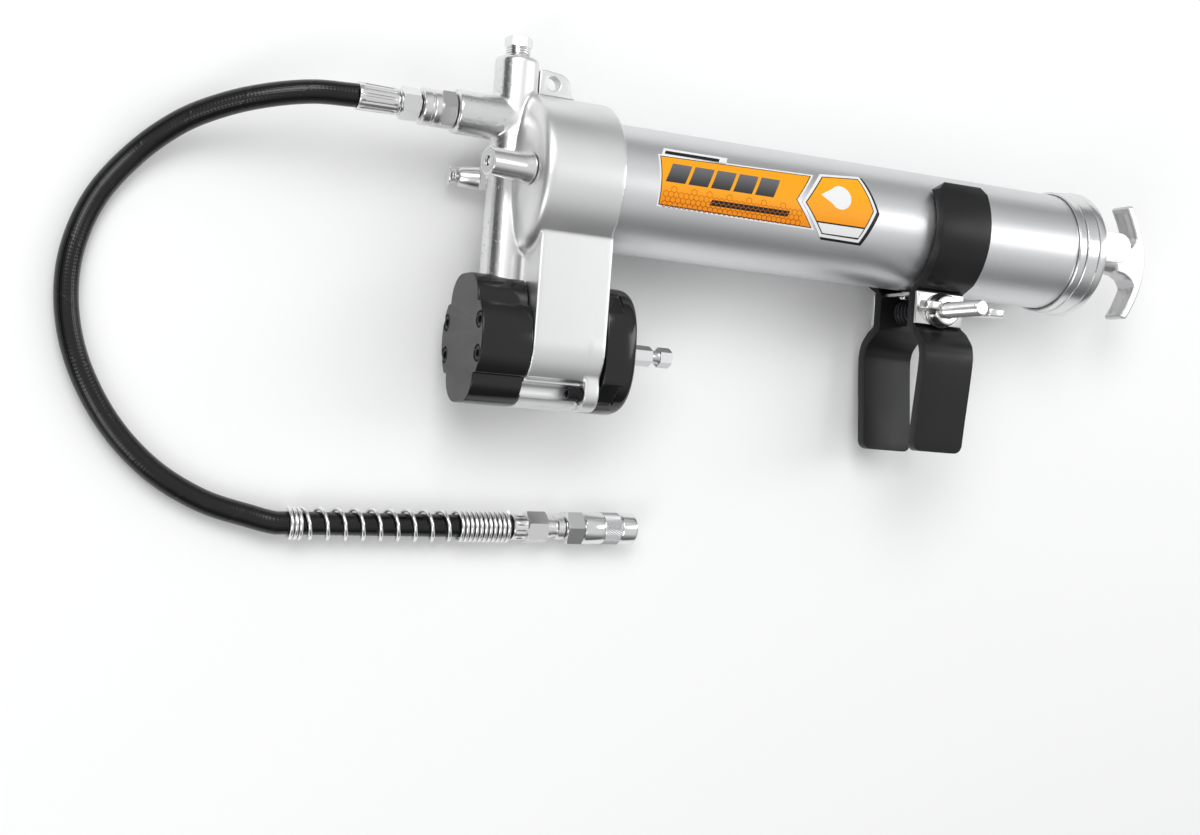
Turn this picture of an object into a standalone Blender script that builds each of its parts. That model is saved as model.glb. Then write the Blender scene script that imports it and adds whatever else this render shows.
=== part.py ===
"""Drill-powered grease gun: a barrel with a follower, a pump head with a geared drive, a hose and a clamp.

The gun lies on its side on a bench. Frame of the gun: X to the rear, Y towards the top of the pump column,
Z up from the bench. Everything is drawn in millimetres about the barrel's axis and written out in metres.
"""

import math

import bmesh
import bpy
from mathutils import Matrix, Vector

# ---------------------------------------------------------------- sizes, mm
GAP = 0.3

BARREL_R = 28.5
BARREL_WALL = 1.3
BARREL_X0 = 14.4
BARREL_X1 = 303.0

CUP_R = BARREL_R + 6.8
CUP_X1 = 39.9
CUP_FLOOR_X = 14.0
REST = CUP_R

COLUMN_R = 9.6
COLUMN_TOP = 50.0
COLUMN_BOTTOM = -50.0
PLUNGER_R = 4.0
CHAMBER_R = PLUNGER_R + 0.7
SEAT_Y0 = 12.0
SEAT_Y1 = 14.5

OUTLET_Y = 23.0
OUTLET_R = 9.5
OUTLET_X = -27.7

GEAR_Y = -72.8
GEAR_R = 24.3
LOBE_H = 27.9
LOBE_W = 16.0
COVER_X0 = -16.3
COVER_X1 = 6.9
HOUSING_X0 = 7.2
HOUSING_X1 = 41.2
REAR_X0 = 41.5
REAR_X1 = 56.5
GEAR_BORE_R = 22.3
MODULE = 1.0
SUN_TEETH = 12
PLANET_TEETH = 12
RING_TEETH = 36
CRANK_THROW = 5.0
BOLT_DOWN, BOLT_OUT = 20.6, 15.8
SCREW_UP, SCREW_OUT = 19.5, 14.6

CAP_X0 = BARREL_X1 - 13.2
CAP_X1 = BARREL_X1 + 3.6
CAP_R = BARREL_R + 2.5

ROD_R = 4.0
HANDLE_X0 = CAP_X1 + 13.4
HANDLE_X1 = HANDLE_X0 + 32.0
HANDLE_HALF = 29.0

JAW_X0 = 204.0
JAW_X1 = 231.5
JAW_IN_R = BARREL_R + 0.3
JAW_T = 5.5
JAW_OFFSET = 1.0
JAW_PLATE_Z = 16.8
PLATE_T = 1.8
PADDLE_Y = -105.4
BOLT_X = 217.0
BOLT_Y = -BARREL_R - 9.8
BOLT_R = 3.9
WING_SPAN = 46.0

HOSE_R = 5.0
TAIL_ANGLE = math.radians(2.0)
TAIL_START = (-72.0, -157.0, -27.0)

# the hose's centre line, from the outlet down to the bench and round to the tail
HOSE_ROUTE = (
    (-71.0, 23.0, 0.0),
    (-89.0, 22.0, -1.4),
    (-107.0, 18.4, -6.6),
    (-123.0, 13.0, -13.6),
    (-138.5, 4.6, -21.2),
    (-154.0, -9.6, -28.0),
    (-168.0, -29.2, -30.2),
    (-175.6, -52.0, -30.2),
    (-175.8, -75.0, -30.2),
    (-169.2, -98.0, -30.2),
    (-155.4, -120.6, -30.2),
    (-137.0, -138.2, -30.2),
    (-115.4, -149.8, -30.0),
    (-94.0, -155.4, -28.6),
)

# ---------------------------------------------------------------- colours
COLOURS = {
    "cast_metal": ((0.62, 0.62, 0.61), 0.38, 1.0),
    "steel": ((0.66, 0.66, 0.65), 0.28, 1.0),
    "zinc": ((0.70, 0.70, 0.69), 0.32, 1.0),
    "black_paint": ((0.022, 0.022, 0.024), 0.42, 0.0),
    "black_oxide": ((0.03, 0.03, 0.032), 0.38, 0.8),
    "rubber": ((0.018, 0.018, 0.019), 0.5, 0.0),
    "brass": ((0.60, 0.45, 0.20), 0.35, 1.0),
}


# ---------------------------------------------------------------- helpers
def clear_scene() -> None:
    """Empties the file."""
    for obj in list(bpy.data.objects):
        bpy.data.objects.remove(obj, do_unlink=True)


def material(name: str) -> bpy.types.Material:
    """Makes a plain Principled material.

    Args:
        name: A node's material name, "node:finish".
    Returns:
        The material.
    """
    node, finish = name.split(":")
    mat = bpy.data.materials.new(node)
    mat.use_nodes = True
    rgb, rough, metal = COLOURS[finish]
    shader = mat.node_tree.nodes["Principled BSDF"]
    shader.inputs["Base Color"].default_value = (*rgb, 1.0)
    shader.inputs["Roughness"].default_value = rough
    shader.inputs["Metallic"].default_value = metal
    mat.diffuse_color = (*rgb, 1.0)
    return mat


def solid(bm: bmesh.types.BMesh) -> bpy.types.Object:
    """Turns a closed bmesh into an object with its faces outwards."""
    bmesh.ops.recalc_face_normals(bm, faces=bm.faces)
    mesh = bpy.data.meshes.new("m")
    bm.to_mesh(mesh)
    bm.free()
    obj = bpy.data.objects.new("o", mesh)
    bpy.context.scene.collection.objects.link(obj)
    return obj


AXES = {"X": (1, 2, 0), "Y": (0, 2, 1), "Z": (0, 1, 2)}


def place(axis: str, a: float, u: float, v: float) -> tuple:
    """Puts a distance along an axis and two across it in X, Y, Z order."""
    point = [0.0, 0.0, 0.0]
    iu, iv, ia = AXES[axis]
    point[ia], point[iu], point[iv] = a, u, v
    return tuple(point)


def lathe(axis: str, profile: list, centre: tuple = (0.0, 0.0), seg: int = 40,
          phase: float = 0.0) -> bpy.types.Object:
    """Revolves a profile of (along, radius) points.

    Args:
        axis: X, Y or Z.
        profile: Points; a profile that starts and ends on the axis is solid, any other is a closed ring.
        centre: The axis's place across, in the other two directions.
        seg: Sides of the round.
        phase: Angle of the first side's corner.
    Returns:
        The body.
    """
    bm = bmesh.new()
    rows = []
    for a, r in profile:
        if r <= 1e-9:
            rows.append([bm.verts.new(place(axis, a, *centre))])
            continue
        ring = []
        for k in range(seg):
            t = phase + 2.0 * math.pi * k / seg
            spot = (centre[0] + r * math.cos(t), centre[1] + r * math.sin(t))
            ring.append(bm.verts.new(place(axis, a, *spot)))
        rows.append(ring)
    pairs = list(zip(rows[:-1], rows[1:]))
    if len(rows[0]) > 1:
        pairs.append((rows[-1], rows[0]))
    for one, two in pairs:
        for k in range(seg):
            j = (k + 1) % seg
            if len(one) == 1 and len(two) == 1:
                break
            if len(one) == 1:
                bm.faces.new((one[0], two[k], two[j]))
            elif len(two) == 1:
                bm.faces.new((one[k], one[j], two[0]))
            else:
                bm.faces.new((one[k], one[j], two[j], two[k]))
    return solid(bm)


def prism(axis: str, outline: list, a0: float, a1: float) -> bpy.types.Object:
    """Extrudes an outline, given across the axis, from a0 to a1."""
    bm = bmesh.new()
    low = [bm.verts.new(place(axis, a0, u, v)) for u, v in outline]
    high = [bm.verts.new(place(axis, a1, u, v)) for u, v in outline]
    n = len(outline)
    bm.faces.new(low)
    bm.faces.new(high[::-1])
    for k in range(n):
        j = (k + 1) % n
        bm.faces.new((low[k], high[k], high[j], low[j]))
    return solid(bm)


def cylinder(axis: str, a0: float, a1: float, centre: tuple, r: float, seg: int = 32,
             chamfer: float = 0.0, phase: float = 0.0) -> bpy.types.Object:
    """Makes a cylinder, with an optional chamfer at both ends."""
    if chamfer <= 0.0:
        profile = [(a0, 0.0), (a0, r), (a1, r), (a1, 0.0)]
    else:
        c = chamfer
        profile = [(a0, 0.0), (a0, r - c), (a0 + c, r), (a1 - c, r), (a1, r - c), (a1, 0.0)]
    return lathe(axis, profile, centre, seg, phase)


def tube(axis: str, a0: float, a1: float, centre: tuple, r_in: float, r_out: float, seg: int = 40
         ) -> bpy.types.Object:
    """Makes a plain ring or pipe."""
    return lathe(axis, [(a0, r_in), (a0, r_out), (a1, r_out), (a1, r_in)], centre, seg)


def box(x0: float, x1: float, y0: float, y1: float, z0: float, z1: float) -> bpy.types.Object:
    """Makes a block."""
    return prism("X", [(y0, z0), (y1, z0), (y1, z1), (y0, z1)], x0, x1)


def hexagon(across: float, turn: float = 0.0, centre: tuple = (0.0, 0.0)) -> list:
    """Gives a hexagon's outline from its size across the flats."""
    r = across / math.sqrt(3.0)
    out = []
    for k in range(6):
        t = turn + math.pi / 3.0 * k
        out.append((centre[0] + r * math.cos(t), centre[1] + r * math.sin(t)))
    return out


def combine(target: bpy.types.Object, tool: bpy.types.Object, operation: str) -> bpy.types.Object:
    """Applies one exact Boolean and drops the tool."""
    tool.hide_render = True
    tool.display_type = "WIRE"
    mod = target.modifiers.new("op", "BOOLEAN")
    mod.object = tool
    mod.operation = operation
    mod.solver = "EXACT"
    graph = bpy.context.evaluated_depsgraph_get()
    graph.update()
    mesh = bpy.data.meshes.new_from_object(target.evaluated_get(graph))
    target.modifiers.clear()
    target.data = mesh
    bpy.data.objects.remove(tool, do_unlink=True)
    return target


def cut(target: bpy.types.Object, *tools: bpy.types.Object) -> bpy.types.Object:
    """Takes each tool out of the target."""
    for tool in tools:
        combine(target, tool, "DIFFERENCE")
    return target


def join(target: bpy.types.Object, *tools: bpy.types.Object) -> bpy.types.Object:
    """Adds each tool to the target."""
    for tool in tools:
        combine(target, tool, "UNION")
    return target


def turned(obj: bpy.types.Object, matrix: Matrix) -> bpy.types.Object:
    """Moves a body's own points by a matrix."""
    obj.data.transform(matrix)
    return obj


def loft(sections: list) -> bpy.types.Object:
    """Skins outlines of equal length along X; each section is (x, outline)."""
    bm = bmesh.new()
    rows = [[bm.verts.new((x, u, v)) for u, v in outline] for x, outline in sections]
    for one, two in zip(rows[:-1], rows[1:]):
        for k in range(len(one)):
            j = (k + 1) % len(one)
            bm.faces.new((one[k], one[j], two[j], two[k]))
    bm.faces.new(rows[0])
    bm.faces.new(rows[-1][::-1])
    return solid(bm)


def bevel(obj: bpy.types.Object, width: float, segments: int = 2, angle: float = 40.0) -> bpy.types.Object:
    """Rounds the sharp edges of a body."""
    mod = obj.modifiers.new("bevel", "BEVEL")
    mod.width = width
    mod.segments = segments
    mod.limit_method = "ANGLE"
    mod.angle_limit = math.radians(angle)
    graph = bpy.context.evaluated_depsgraph_get()
    graph.update()
    mesh = bpy.data.meshes.new_from_object(obj.evaluated_get(graph))
    obj.modifiers.clear()
    obj.data = mesh
    return obj


def coil(points: list, wire: float, sides: int = 6, close: bool = True) -> bpy.types.Object:
    """Sweeps a round wire along a chain of points, with flat ends."""
    bm = bmesh.new()
    rings = []
    pts = [Vector(p) for p in points]
    side = None
    for k, p in enumerate(pts):
        ahead = pts[min(k + 1, len(pts) - 1)] - pts[max(k - 1, 0)]
        ahead.normalize()
        if side is None:
            side = ahead.orthogonal().normalized()
        side = (side - ahead * side.dot(ahead)).normalized()
        up = ahead.cross(side)
        rings.append([bm.verts.new(p + wire * (math.cos(t) * side + math.sin(t) * up))
                      for t in (2.0 * math.pi * s / sides for s in range(sides))])
    for one, two in zip(rings[:-1], rings[1:]):
        for k in range(sides):
            j = (k + 1) % sides
            bm.faces.new((one[k], one[j], two[j], two[k]))
    if close:
        bm.faces.new(rings[0])
        bm.faces.new(rings[-1][::-1])
    bmesh.ops.triangulate(bm, faces=bm.faces)
    return solid(bm)


def spring(axis: str, a0: float, a1: float, centre: tuple, r: float, wire: float, turns: float,
           per_turn: int = 10, sides: int = 5, dead: float = 1.0) -> bpy.types.Object:
    """Makes a compression spring with close end turns between two flat seats."""
    total = int(turns * per_turn)
    pitch = 2.0 * wire + 0.25
    low, high = a0 + wire, a1 - wire
    points = []
    for k in range(total + 1):
        s = k / per_turn
        if s < dead:
            a = low + pitch * s
        elif s > turns - dead:
            a = high - pitch * (turns - s)
        else:
            part = (s - dead) / (turns - 2.0 * dead)
            a = low + pitch * dead + part * (high - low - 2.0 * pitch * dead)
        t = 2.0 * math.pi * s
        points.append(place(axis, a, centre[0] + r * math.cos(t), centre[1] + r * math.sin(t)))
    return coil(points, wire, sides)


def smooth_path(route: list, step: float) -> list:
    """Reads points every step along a smooth curve through the route's points."""
    pts = [Vector(p) for p in route]
    pts = [2 * pts[0] - pts[1]] + pts + [2 * pts[-1] - pts[-2]]
    fine = []
    for k in range(1, len(pts) - 2):
        a, b, c, d = pts[k - 1:k + 3]
        for i in range(12):
            t = i / 12.0
            fine.append(0.5 * (2 * b + (c - a) * t + (2 * a - 5 * b + 4 * c - d) * t * t
                               + (3 * b - a - 3 * c + d) * t ** 3))
    fine.append(pts[-2])
    length = [0.0]
    for p, q in zip(fine[:-1], fine[1:]):
        length.append(length[-1] + (q - p).length)
    count = max(2, round(length[-1] / step))
    out = []
    for k in range(count + 1):
        want = length[-1] * k / count
        i = 0
        while i < len(length) - 2 and length[i + 1] < want:
            i += 1
        part = (want - length[i]) / (length[i + 1] - length[i])
        out.append(fine[i].lerp(fine[i + 1], min(max(part, 0.0), 1.0)))
    return out


def arc(radius: float, start: float, end: float, count: int, centre: tuple = (0.0, 0.0)) -> list:
    """Gives points along a circle, angles in degrees, both ends included."""
    out = []
    for k in range(count + 1):
        t = math.radians(start + (end - start) * k / count)
        out.append((centre[0] + radius * math.cos(t), centre[1] + radius * math.sin(t)))
    return out


# ---------------------------------------------------------------- the assembly's frame
ROOT: dict = {}


def finish(obj: bpy.types.Object, name: str, look: str, pivot: tuple = (0.0, 0.0, 0.0)) -> bpy.types.Object:
    """Names a body, dresses it and puts it into the world in metres.

    Args:
        obj: The body, in millimetres about the barrel's axis.
        name: Its node name.
        look: A key of COLOURS.
        pivot: Where its origin goes: on its joint's axis if it moves.
    Returns:
        The finished object.
    """
    bm = bmesh.new()
    bm.from_mesh(obj.data)
    bmesh.ops.remove_doubles(bm, verts=bm.verts, dist=1e-4)
    bmesh.ops.dissolve_degenerate(bm, dist=1e-4, edges=bm.edges)
    bmesh.ops.triangulate(bm, faces=[f for f in bm.faces if len(f.verts) > 4])
    bm.to_mesh(obj.data)
    bm.free()
    obj.data.transform(Matrix.Translation(-Vector(pivot)))
    obj.data.transform(Matrix.Scale(0.001, 4))
    obj.parent = ROOT["root"]
    obj.location = (pivot[0] * 0.001, pivot[1] * 0.001, (pivot[2] + REST) * 0.001)
    obj.name = name
    obj.data.name = name
    obj.data.materials.clear()
    obj.data.materials.append(material(name + ":" + look))
    for face in obj.data.polygons:
        face.use_smooth = True
    obj.data.set_sharp_from_angle(angle=math.radians(34.0))
    obj.hide_render = False
    obj.display_type = "TEXTURED"
    return obj


# ---------------------------------------------------------------- gearbox outlines, (y, z) about the barrel
def body_side(sign: float) -> list:
    """The round side of the gearbox between its two notches, from top to bottom."""
    edge = math.degrees(math.asin(15.2 / GEAR_R))
    points = []
    for y, z in arc(GEAR_R, 90.0 - edge, 90.0 + edge, 8):
        points.append((GEAR_Y + y, sign * z))
    return points


def lobe_end(top: bool) -> list:
    """Half of a lobe, from the notch at +z to the crown, as (y, z) points."""
    ledge = 15.2
    corner = 12.0
    points = [(ledge, LOBE_W)]
    for y, z in arc(corner, 90.0, 0.0, 4, (LOBE_H - corner, LOBE_W - corner)):
        points.append((y, z))
    sign = 1.0 if top else -1.0
    return [(GEAR_Y + sign * y, z) for y, z in points]


def notched_outline() -> list:
    """The outline with a lobe at the top and at the bottom."""
    top = lobe_end(True)
    bottom = lobe_end(False)
    out = []
    out += [(y, z) for y, z in reversed(top)]
    out += body_side(1.0)
    out += bottom
    out += [(y, -z) for y, z in reversed(bottom)]
    out += list(reversed(body_side(-1.0)))
    out += [(y, -z) for y, z in top]
    return out


def oval_outline(inset: float = 0.0) -> list:
    """The full oval outline of the rear cover, drawn in by an inset."""
    a = GEAR_R - inset
    b = LOBE_H - inset
    power = 2.0 / 2.6
    out = []
    for k in range(40):
        t = 2.0 * math.pi * k / 40
        c, s = math.cos(t), math.sin(t)
        out.append((GEAR_Y + b * math.copysign(abs(c) ** power, c), a * math.copysign(abs(s) ** power, s)))
    return out


def neck_outline() -> list:
    """The housing and the neck above it as one outline: flat sides that run into the round body."""
    half = [(-18.0, GEAR_R)] + [p for p in body_side(1.0) if p[0] <= GEAR_Y + 0.01] + lobe_end(False)
    return half + [(y, -z) for y, z in reversed(half)]


# ---------------------------------------------------------------- gears
def gear_points(teeth: int, r_low: float, r_high: float, ease: float, phase: float) -> list:
    """Points round a gear's teeth.

    Args:
        teeth: Number of teeth.
        r_low: Radius at the root.
        r_high: Radius at the tip.
        ease: Backlash taken from each tooth's thickness at the pitch circle, mm.
        phase: Angle of one tooth's middle.
    Returns:
        (y, z) points.
    """
    pitch = MODULE * teeth / 2.0
    base = pitch * math.cos(math.radians(20.0))

    def involute(r: float) -> float:
        if r <= base:
            return 0.0
        a = math.acos(base / r)
        return math.tan(a) - a

    half = math.pi / (2.0 * teeth) - ease / (2.0 * pitch)
    at_base = half + involute(pitch)
    radii = (r_low, r_high)
    out = []
    for k in range(teeth):
        mid = phase + 2.0 * math.pi * k / teeth
        for r in radii:
            t = mid - (at_base - involute(r))
            out.append((r * math.cos(t), r * math.sin(t)))
        for r in reversed(radii):
            t = mid + (at_base - involute(r))
            out.append((r * math.cos(t), r * math.sin(t)))
    return out


def shifted(points: list, centre: tuple) -> list:
    """Moves an outline."""
    return [(u + centre[0], v + centre[1]) for u, v in points]


# ---------------------------------------------------------------- pump head
def head_casting() -> None:
    """The casting: column, outlet boss, cup, neck and gear housing, with all its bores."""
    cup = lathe("X", [(-1.4, 0.0), (-1.4, 12.0), (-0.2, 22.0), (1.4, CUP_R - 5.3), (3.4, CUP_R - 1.3),
                      (6.6, CUP_R), (CUP_X1, CUP_R), (CUP_X1, 0.0)], seg=52)
    column = lathe("Y", [(COLUMN_BOTTOM, 0.0), (COLUMN_BOTTOM, COLUMN_R), (COLUMN_TOP - 1.1, COLUMN_R),
                         (COLUMN_TOP, COLUMN_R - 1.4), (COLUMN_TOP, 0.0)], seg=28)
    boss = lathe("X", [(OUTLET_X, 0.0), (OUTLET_X, OUTLET_R - 0.4), (OUTLET_X + 0.5, OUTLET_R),
                       (2.0, OUTLET_R), (2.0, 0.0)], (OUTLET_Y, 0.0), 26)
    housing = prism("X", neck_outline(), HOUSING_X0, HOUSING_X1)
    flange = prism("X", flange_outline(), 33.8, HOUSING_X1 - 0.05)
    for piece in (column, boss, housing, flange):
        join(cup, piece)
    for sign in (-1.0, 1.0):
        low = (GEAR_Y - BOLT_DOWN, sign * BOLT_OUT)
        cut(cup, cylinder("X", HOUSING_X0 - 1.0, 34.2, (low[0] - 0.4, low[1] + sign * 0.6), 4.2, 16))
        cut(cup, cylinder("X", 30.0, HOUSING_X1 + 1.0, low, 2.0, 10))
        high = (GEAR_Y + SCREW_UP, sign * SCREW_OUT)
        cut(cup, cylinder("X", 25.0, HOUSING_X1 + 1.0, high, 1.85, 10))
    # bores
    cut(cup, cylinder("X", CUP_FLOOR_X, HOUSING_X1 + 1.0, (0.0, 0.0), BARREL_R + GAP, 48))
    cut(cup, cylinder("X", HOUSING_X0 - 1.0, 17.0, (GEAR_Y, 0.0), 15.3, 28))
    cut(cup, cylinder("X", 16.0, HOUSING_X1 + 1.0, (GEAR_Y, 0.0), GEAR_BORE_R, 36))
    well = lathe("Y", [(COLUMN_BOTTOM - 1.0, 0.0), (COLUMN_BOTTOM - 1.0, PLUNGER_R + GAP),
                       (SEAT_Y0, PLUNGER_R + GAP), (SEAT_Y0, 2.3), (SEAT_Y1 - 0.8, 2.3),
                       (SEAT_Y1, CHAMBER_R), (COLUMN_TOP + 1.0, CHAMBER_R), (COLUMN_TOP + 1.0, 0.0)],
                 seg=18, phase=0.061)
    cut(cup, well)
    cut(cup, cylinder("X", OUTLET_X - 1.0, -15.0, (OUTLET_Y, 0.0), 5.7, 18, phase=0.05))
    cut(cup, cylinder("X", -16.0, -1.0, (OUTLET_Y, 0.0), 3.0, 10, phase=0.09))
    cut(cup, cylinder("X", 2.0, CUP_FLOOR_X + 1.0, (0.0, 0.0), 3.2, 10, phase=0.07))
    for sign in (-1.0, 1.0):
        cut(cup, turned(cylinder("X", -8.0, 8.0, (0.0, 0.0), 4.4, 16), splay(sign)))
        cut(cup, turned(cylinder("X", 7.0, 18.0, (0.0, 0.0), 1.8, 8), splay(sign)))
    for y, z in cover_screw_places():
        cut(cup, cylinder("X", HOUSING_X0 - 1.0, 14.0, (y, z), 2.25, 10))
    finish(cup, "head_casting", "cast_metal")


def flange_outline() -> list:
    """The housing's rear flange: the round body with square lower corners."""
    out = []
    for k in range(9):
        t = math.radians(-58.0 + 116.0 * k / 8.0)
        out.append((GEAR_Y - (GEAR_R + 0.15) * math.sin(t), (GEAR_R + 0.15) * math.cos(t)))
    right = [p for p in out if p[0] > GEAR_Y - 12.6]
    right.sort(key=lambda p: -p[0])
    side = 20.7
    low = LOBE_H
    corner = [(GEAR_Y - 12.7, side)]
    for y, z in arc(8.0, 90.0, 0.0, 4, (low - 8.0, side - 8.0)):
        corner.append((GEAR_Y - y, z))
    half = right + corner
    return half + [(y, -z) for y, z in reversed(half)]


def splay(sign: float) -> Matrix:
    """The frame of a valve on the cup's domed front: its origin on the dome, X inwards."""
    return Matrix.Translation((-0.2, -0.4, sign * 22.4)) @ Matrix.Rotation(sign * math.radians(10.0), 4, "Y")


def cover_screw_places() -> list:
    """Centres of the four front cover screws, (y, z)."""
    return [(GEAR_Y + a * 7.1, b * 19.4) for a in (1.0, -1.0) for b in (1.0, -1.0)]


def hang_lug() -> None:
    """The flat lug on the cup's top with a hole to hang the gun by."""
    top = CUP_R + 11.5
    side = [(9.9, top - 0.4), (13.0, top), (19.0, top - 0.8)]
    side += [(19.0 + 5.8 * math.sin(math.radians(a)), top - 6.4 + 5.6 * math.cos(math.radians(a)))
             for a in (20, 45, 70, 90)]
    side += [(25.4, CUP_R + 2.0), (27.4, CUP_R + GAP), (9.9, CUP_R + GAP)]
    lug = prism("Z", side, -3.0, 3.0)
    cut(lug, cylinder("Z", -4.0, 4.0, (16.6, top - 5.6), 3.1, 16))
    finish(lug, "hang_lug", "cast_metal")


def top_valve() -> None:
    """The check valve under the column's plug: plug, spring and ball."""
    top = COLUMN_TOP
    plug = lathe("Y", [(top - 8.0, 0.0), (top - 8.0, CHAMBER_R - GAP), (top + GAP, CHAMBER_R - GAP),
                       (top + GAP, 5.6), (top + 1.4, 5.6), (top + 1.6, 4.9), (top + 3.0, 4.9),
                       (top + 3.2, 5.4), (top + 4.8, 5.4), (top + 4.8, 0.0)], seg=18)
    head = prism("Y", hexagon(10.6, 0.3), top + 4.5, top + 9.0)
    join(plug, bevel(head, 0.6, 1))
    finish(plug, "check_valve_plug", "steel")
    ball_y = SEAT_Y1 + 2.1
    ball = lathe("Y", [(ball_y - 3.2 * math.cos(math.radians(a)), 3.2 * math.sin(math.radians(a)))
                       for a in (0, 36, 72, 108, 144, 180)], seg=10)
    finish(ball, "check_ball", "steel", (0.0, ball_y, 0.0))
    finish(spring("Y", ball_y + 3.2 + GAP, top - 8.0 - GAP, (0.0, 0.0), 3.0, 0.45, 5, 8, 3),
           "check_spring", "steel", (0.0, top - 8.0, 0.0))


def plunger() -> None:
    """The pump plunger and the yoke that the crank pin drives."""
    rod = cylinder("Y", GEAR_Y + 8.0 + GAP, 5.0, (0.0, 0.0), PLUNGER_R, 18)
    finish(rod, "plunger", "steel", (0.0, GEAR_Y, 0.0))
    half_w = CRANK_THROW + 3.4 + 2.4
    yoke = prism("X", [(GEAR_Y - 6.8, -half_w), (GEAR_Y - 6.8, half_w), (GEAR_Y + 6.8, half_w),
                       (GEAR_Y + 6.8, 5.0), (GEAR_Y + 8.0, 5.0), (GEAR_Y + 8.0, -5.0),
                       (GEAR_Y + 6.8, -5.0), (GEAR_Y + 6.8, -half_w)], -3.0, 3.0)
    slot = [(GEAR_Y + 3.4 * math.cos(t), CRANK_THROW + 3.4 * math.sin(t)) for t in
            (math.pi * k / 6 for k in range(7))]
    slot += [(GEAR_Y + 3.4 * math.cos(t), -CRANK_THROW + 3.4 * math.sin(t)) for t in
             (math.pi + math.pi * k / 6 for k in range(7))]
    cut(yoke, prism("X", slot, -4.0, 4.0))
    finish(yoke, "yoke", "steel", (0.0, GEAR_Y, 0.0))


def front_valves() -> None:
    """The filler nipple on the near side and the air bleeder on the far side of the cup's front."""
    near = splay(1.0)
    body = lathe("X", [(-20.5, 1.9), (-20.5, 5.7), (-20.1, 6.1), (-4.2, 6.1), (-0.9, 7.0), (-0.35, 7.0),
                       (-0.35, 4.0), (6.0, 4.0), (6.0, 3.2), (-18.0, 3.2), (-19.8, 1.9)], seg=22)
    finish(turned(body, near), "filler_nipple", "steel", (-0.2, -0.4, 22.4))
    ball = lathe("X", [(-17.48 - 2.6 * math.cos(math.radians(a)), 2.6 * math.sin(math.radians(a)))
                       for a in (0, 36, 72, 108, 144, 180)], seg=10)
    spot = near @ Vector((-17.48, 0.0, 0.0))
    finish(turned(ball, near), "filler_ball", "steel", tuple(spot))
    finish(turned(spring("X", -14.5, 7.6, (0.0, 0.0), 2.3, 0.4, 6, 7, 3), near),
           "filler_spring", "steel", tuple(near @ Vector((7.6, 0.0, 0.0))))

    far = splay(-1.0)
    valve = lathe("X", [(-14.4, 1.9), (-14.4, 3.9), (-13.9, 4.3), (-5.6, 5.2), (-5.2, 5.0), (-0.4, 5.0),
                        (-0.4, 4.0), (6.0, 4.0), (6.0, 1.9)], seg=18)
    base = prism("X", hexagon(11.4, 0.4), -5.3, -0.5)
    cut(base, cylinder("X", -6.0, 0.0, (0.0, 0.0), 3.0, 12))
    join(valve, base)
    finish(turned(valve, far), "bleeder_body", "zinc", (-0.2, -0.4, -22.4))
    button = lathe("X", [(-19.3, 0.0), (-19.3, 3.4), (-18.6, 4.7), (-18.2, 4.7), (-17.9, 3.0),
                         (-17.9, 1.5), (2.0, 1.5), (2.0, 0.0)], seg=16)
    finish(turned(button, far), "bleeder_button", "steel", tuple(far @ Vector((-18.0, 0.0, 0.0))))
    finish(turned(spring("X", -17.6, -14.7, (0.0, 0.0), 2.9, 0.4, 2, 8, 4, 0.5), far),
           "bleeder_spring", "steel", tuple(far @ Vector((-14.6, 0.0, 0.0))))


# ---------------------------------------------------------------- gearbox
def front_cover() -> None:
    """The black cover over the yoke, slotted at the top for the column, and its four screws."""
    cover = bevel(prism("X", notched_outline(), COVER_X0, COVER_X1), 1.0, 1, 50.0)
    cut(cover, cylinder("X", COVER_X0 + 4.2, COVER_X1 + 1.0, (GEAR_Y, 0.0), 17.4, 30))
    slot_r = COLUMN_R + 0.4
    cut(cover, box(0.0, COVER_X1 + 1.2, COLUMN_BOTTOM - 14.0, COLUMN_BOTTOM + 9.0, -slot_r, slot_r))
    cut(cover, cylinder("Y", COLUMN_BOTTOM - 13.5, COLUMN_BOTTOM + 9.5, (0.0, 0.0), slot_r + 0.1, 24))
    for y, z in cover_screw_places():
        cut(cover, cylinder("X", COVER_X0 + 3.2, COVER_X1 + 1.0, (y, z), 2.25, 10))
        cut(cover, cylinder("X", COVER_X0 - 1.0, COVER_X0 + 3.6, (y, z), 3.6, 14))
    finish(cover, "front_cover", "black_paint")
    for number, (y, z) in enumerate(cover_screw_places(), 1):
        finish(socket_screw(COVER_X0 + 0.2, 3.1, 3.2, 13.0, 1.9, (y, z), 1.6),
               "cover_screw_%d" % number, "black_oxide", (COVER_X0, y, z))


def socket_screw(a0: float, head: float, head_r: float, a1: float, r: float, centre: tuple,
                 key: float) -> bpy.types.Object:
    """A socket-head screw along X with its head at a0."""
    screw = lathe("X", [(a0, 0.0), (a0, head_r - 0.3), (a0 + 0.3, head_r), (a0 + head, head_r),
                        (a0 + head, r), (a1, r), (a1, 0.0)], centre, 10)
    side = 1.0 if a1 > a0 else -1.0
    cut(screw, prism("X", hexagon(key * 2.0, 0.2, centre), a0 - side * 0.5, a0 + side * head * 0.6))
    return screw


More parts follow.
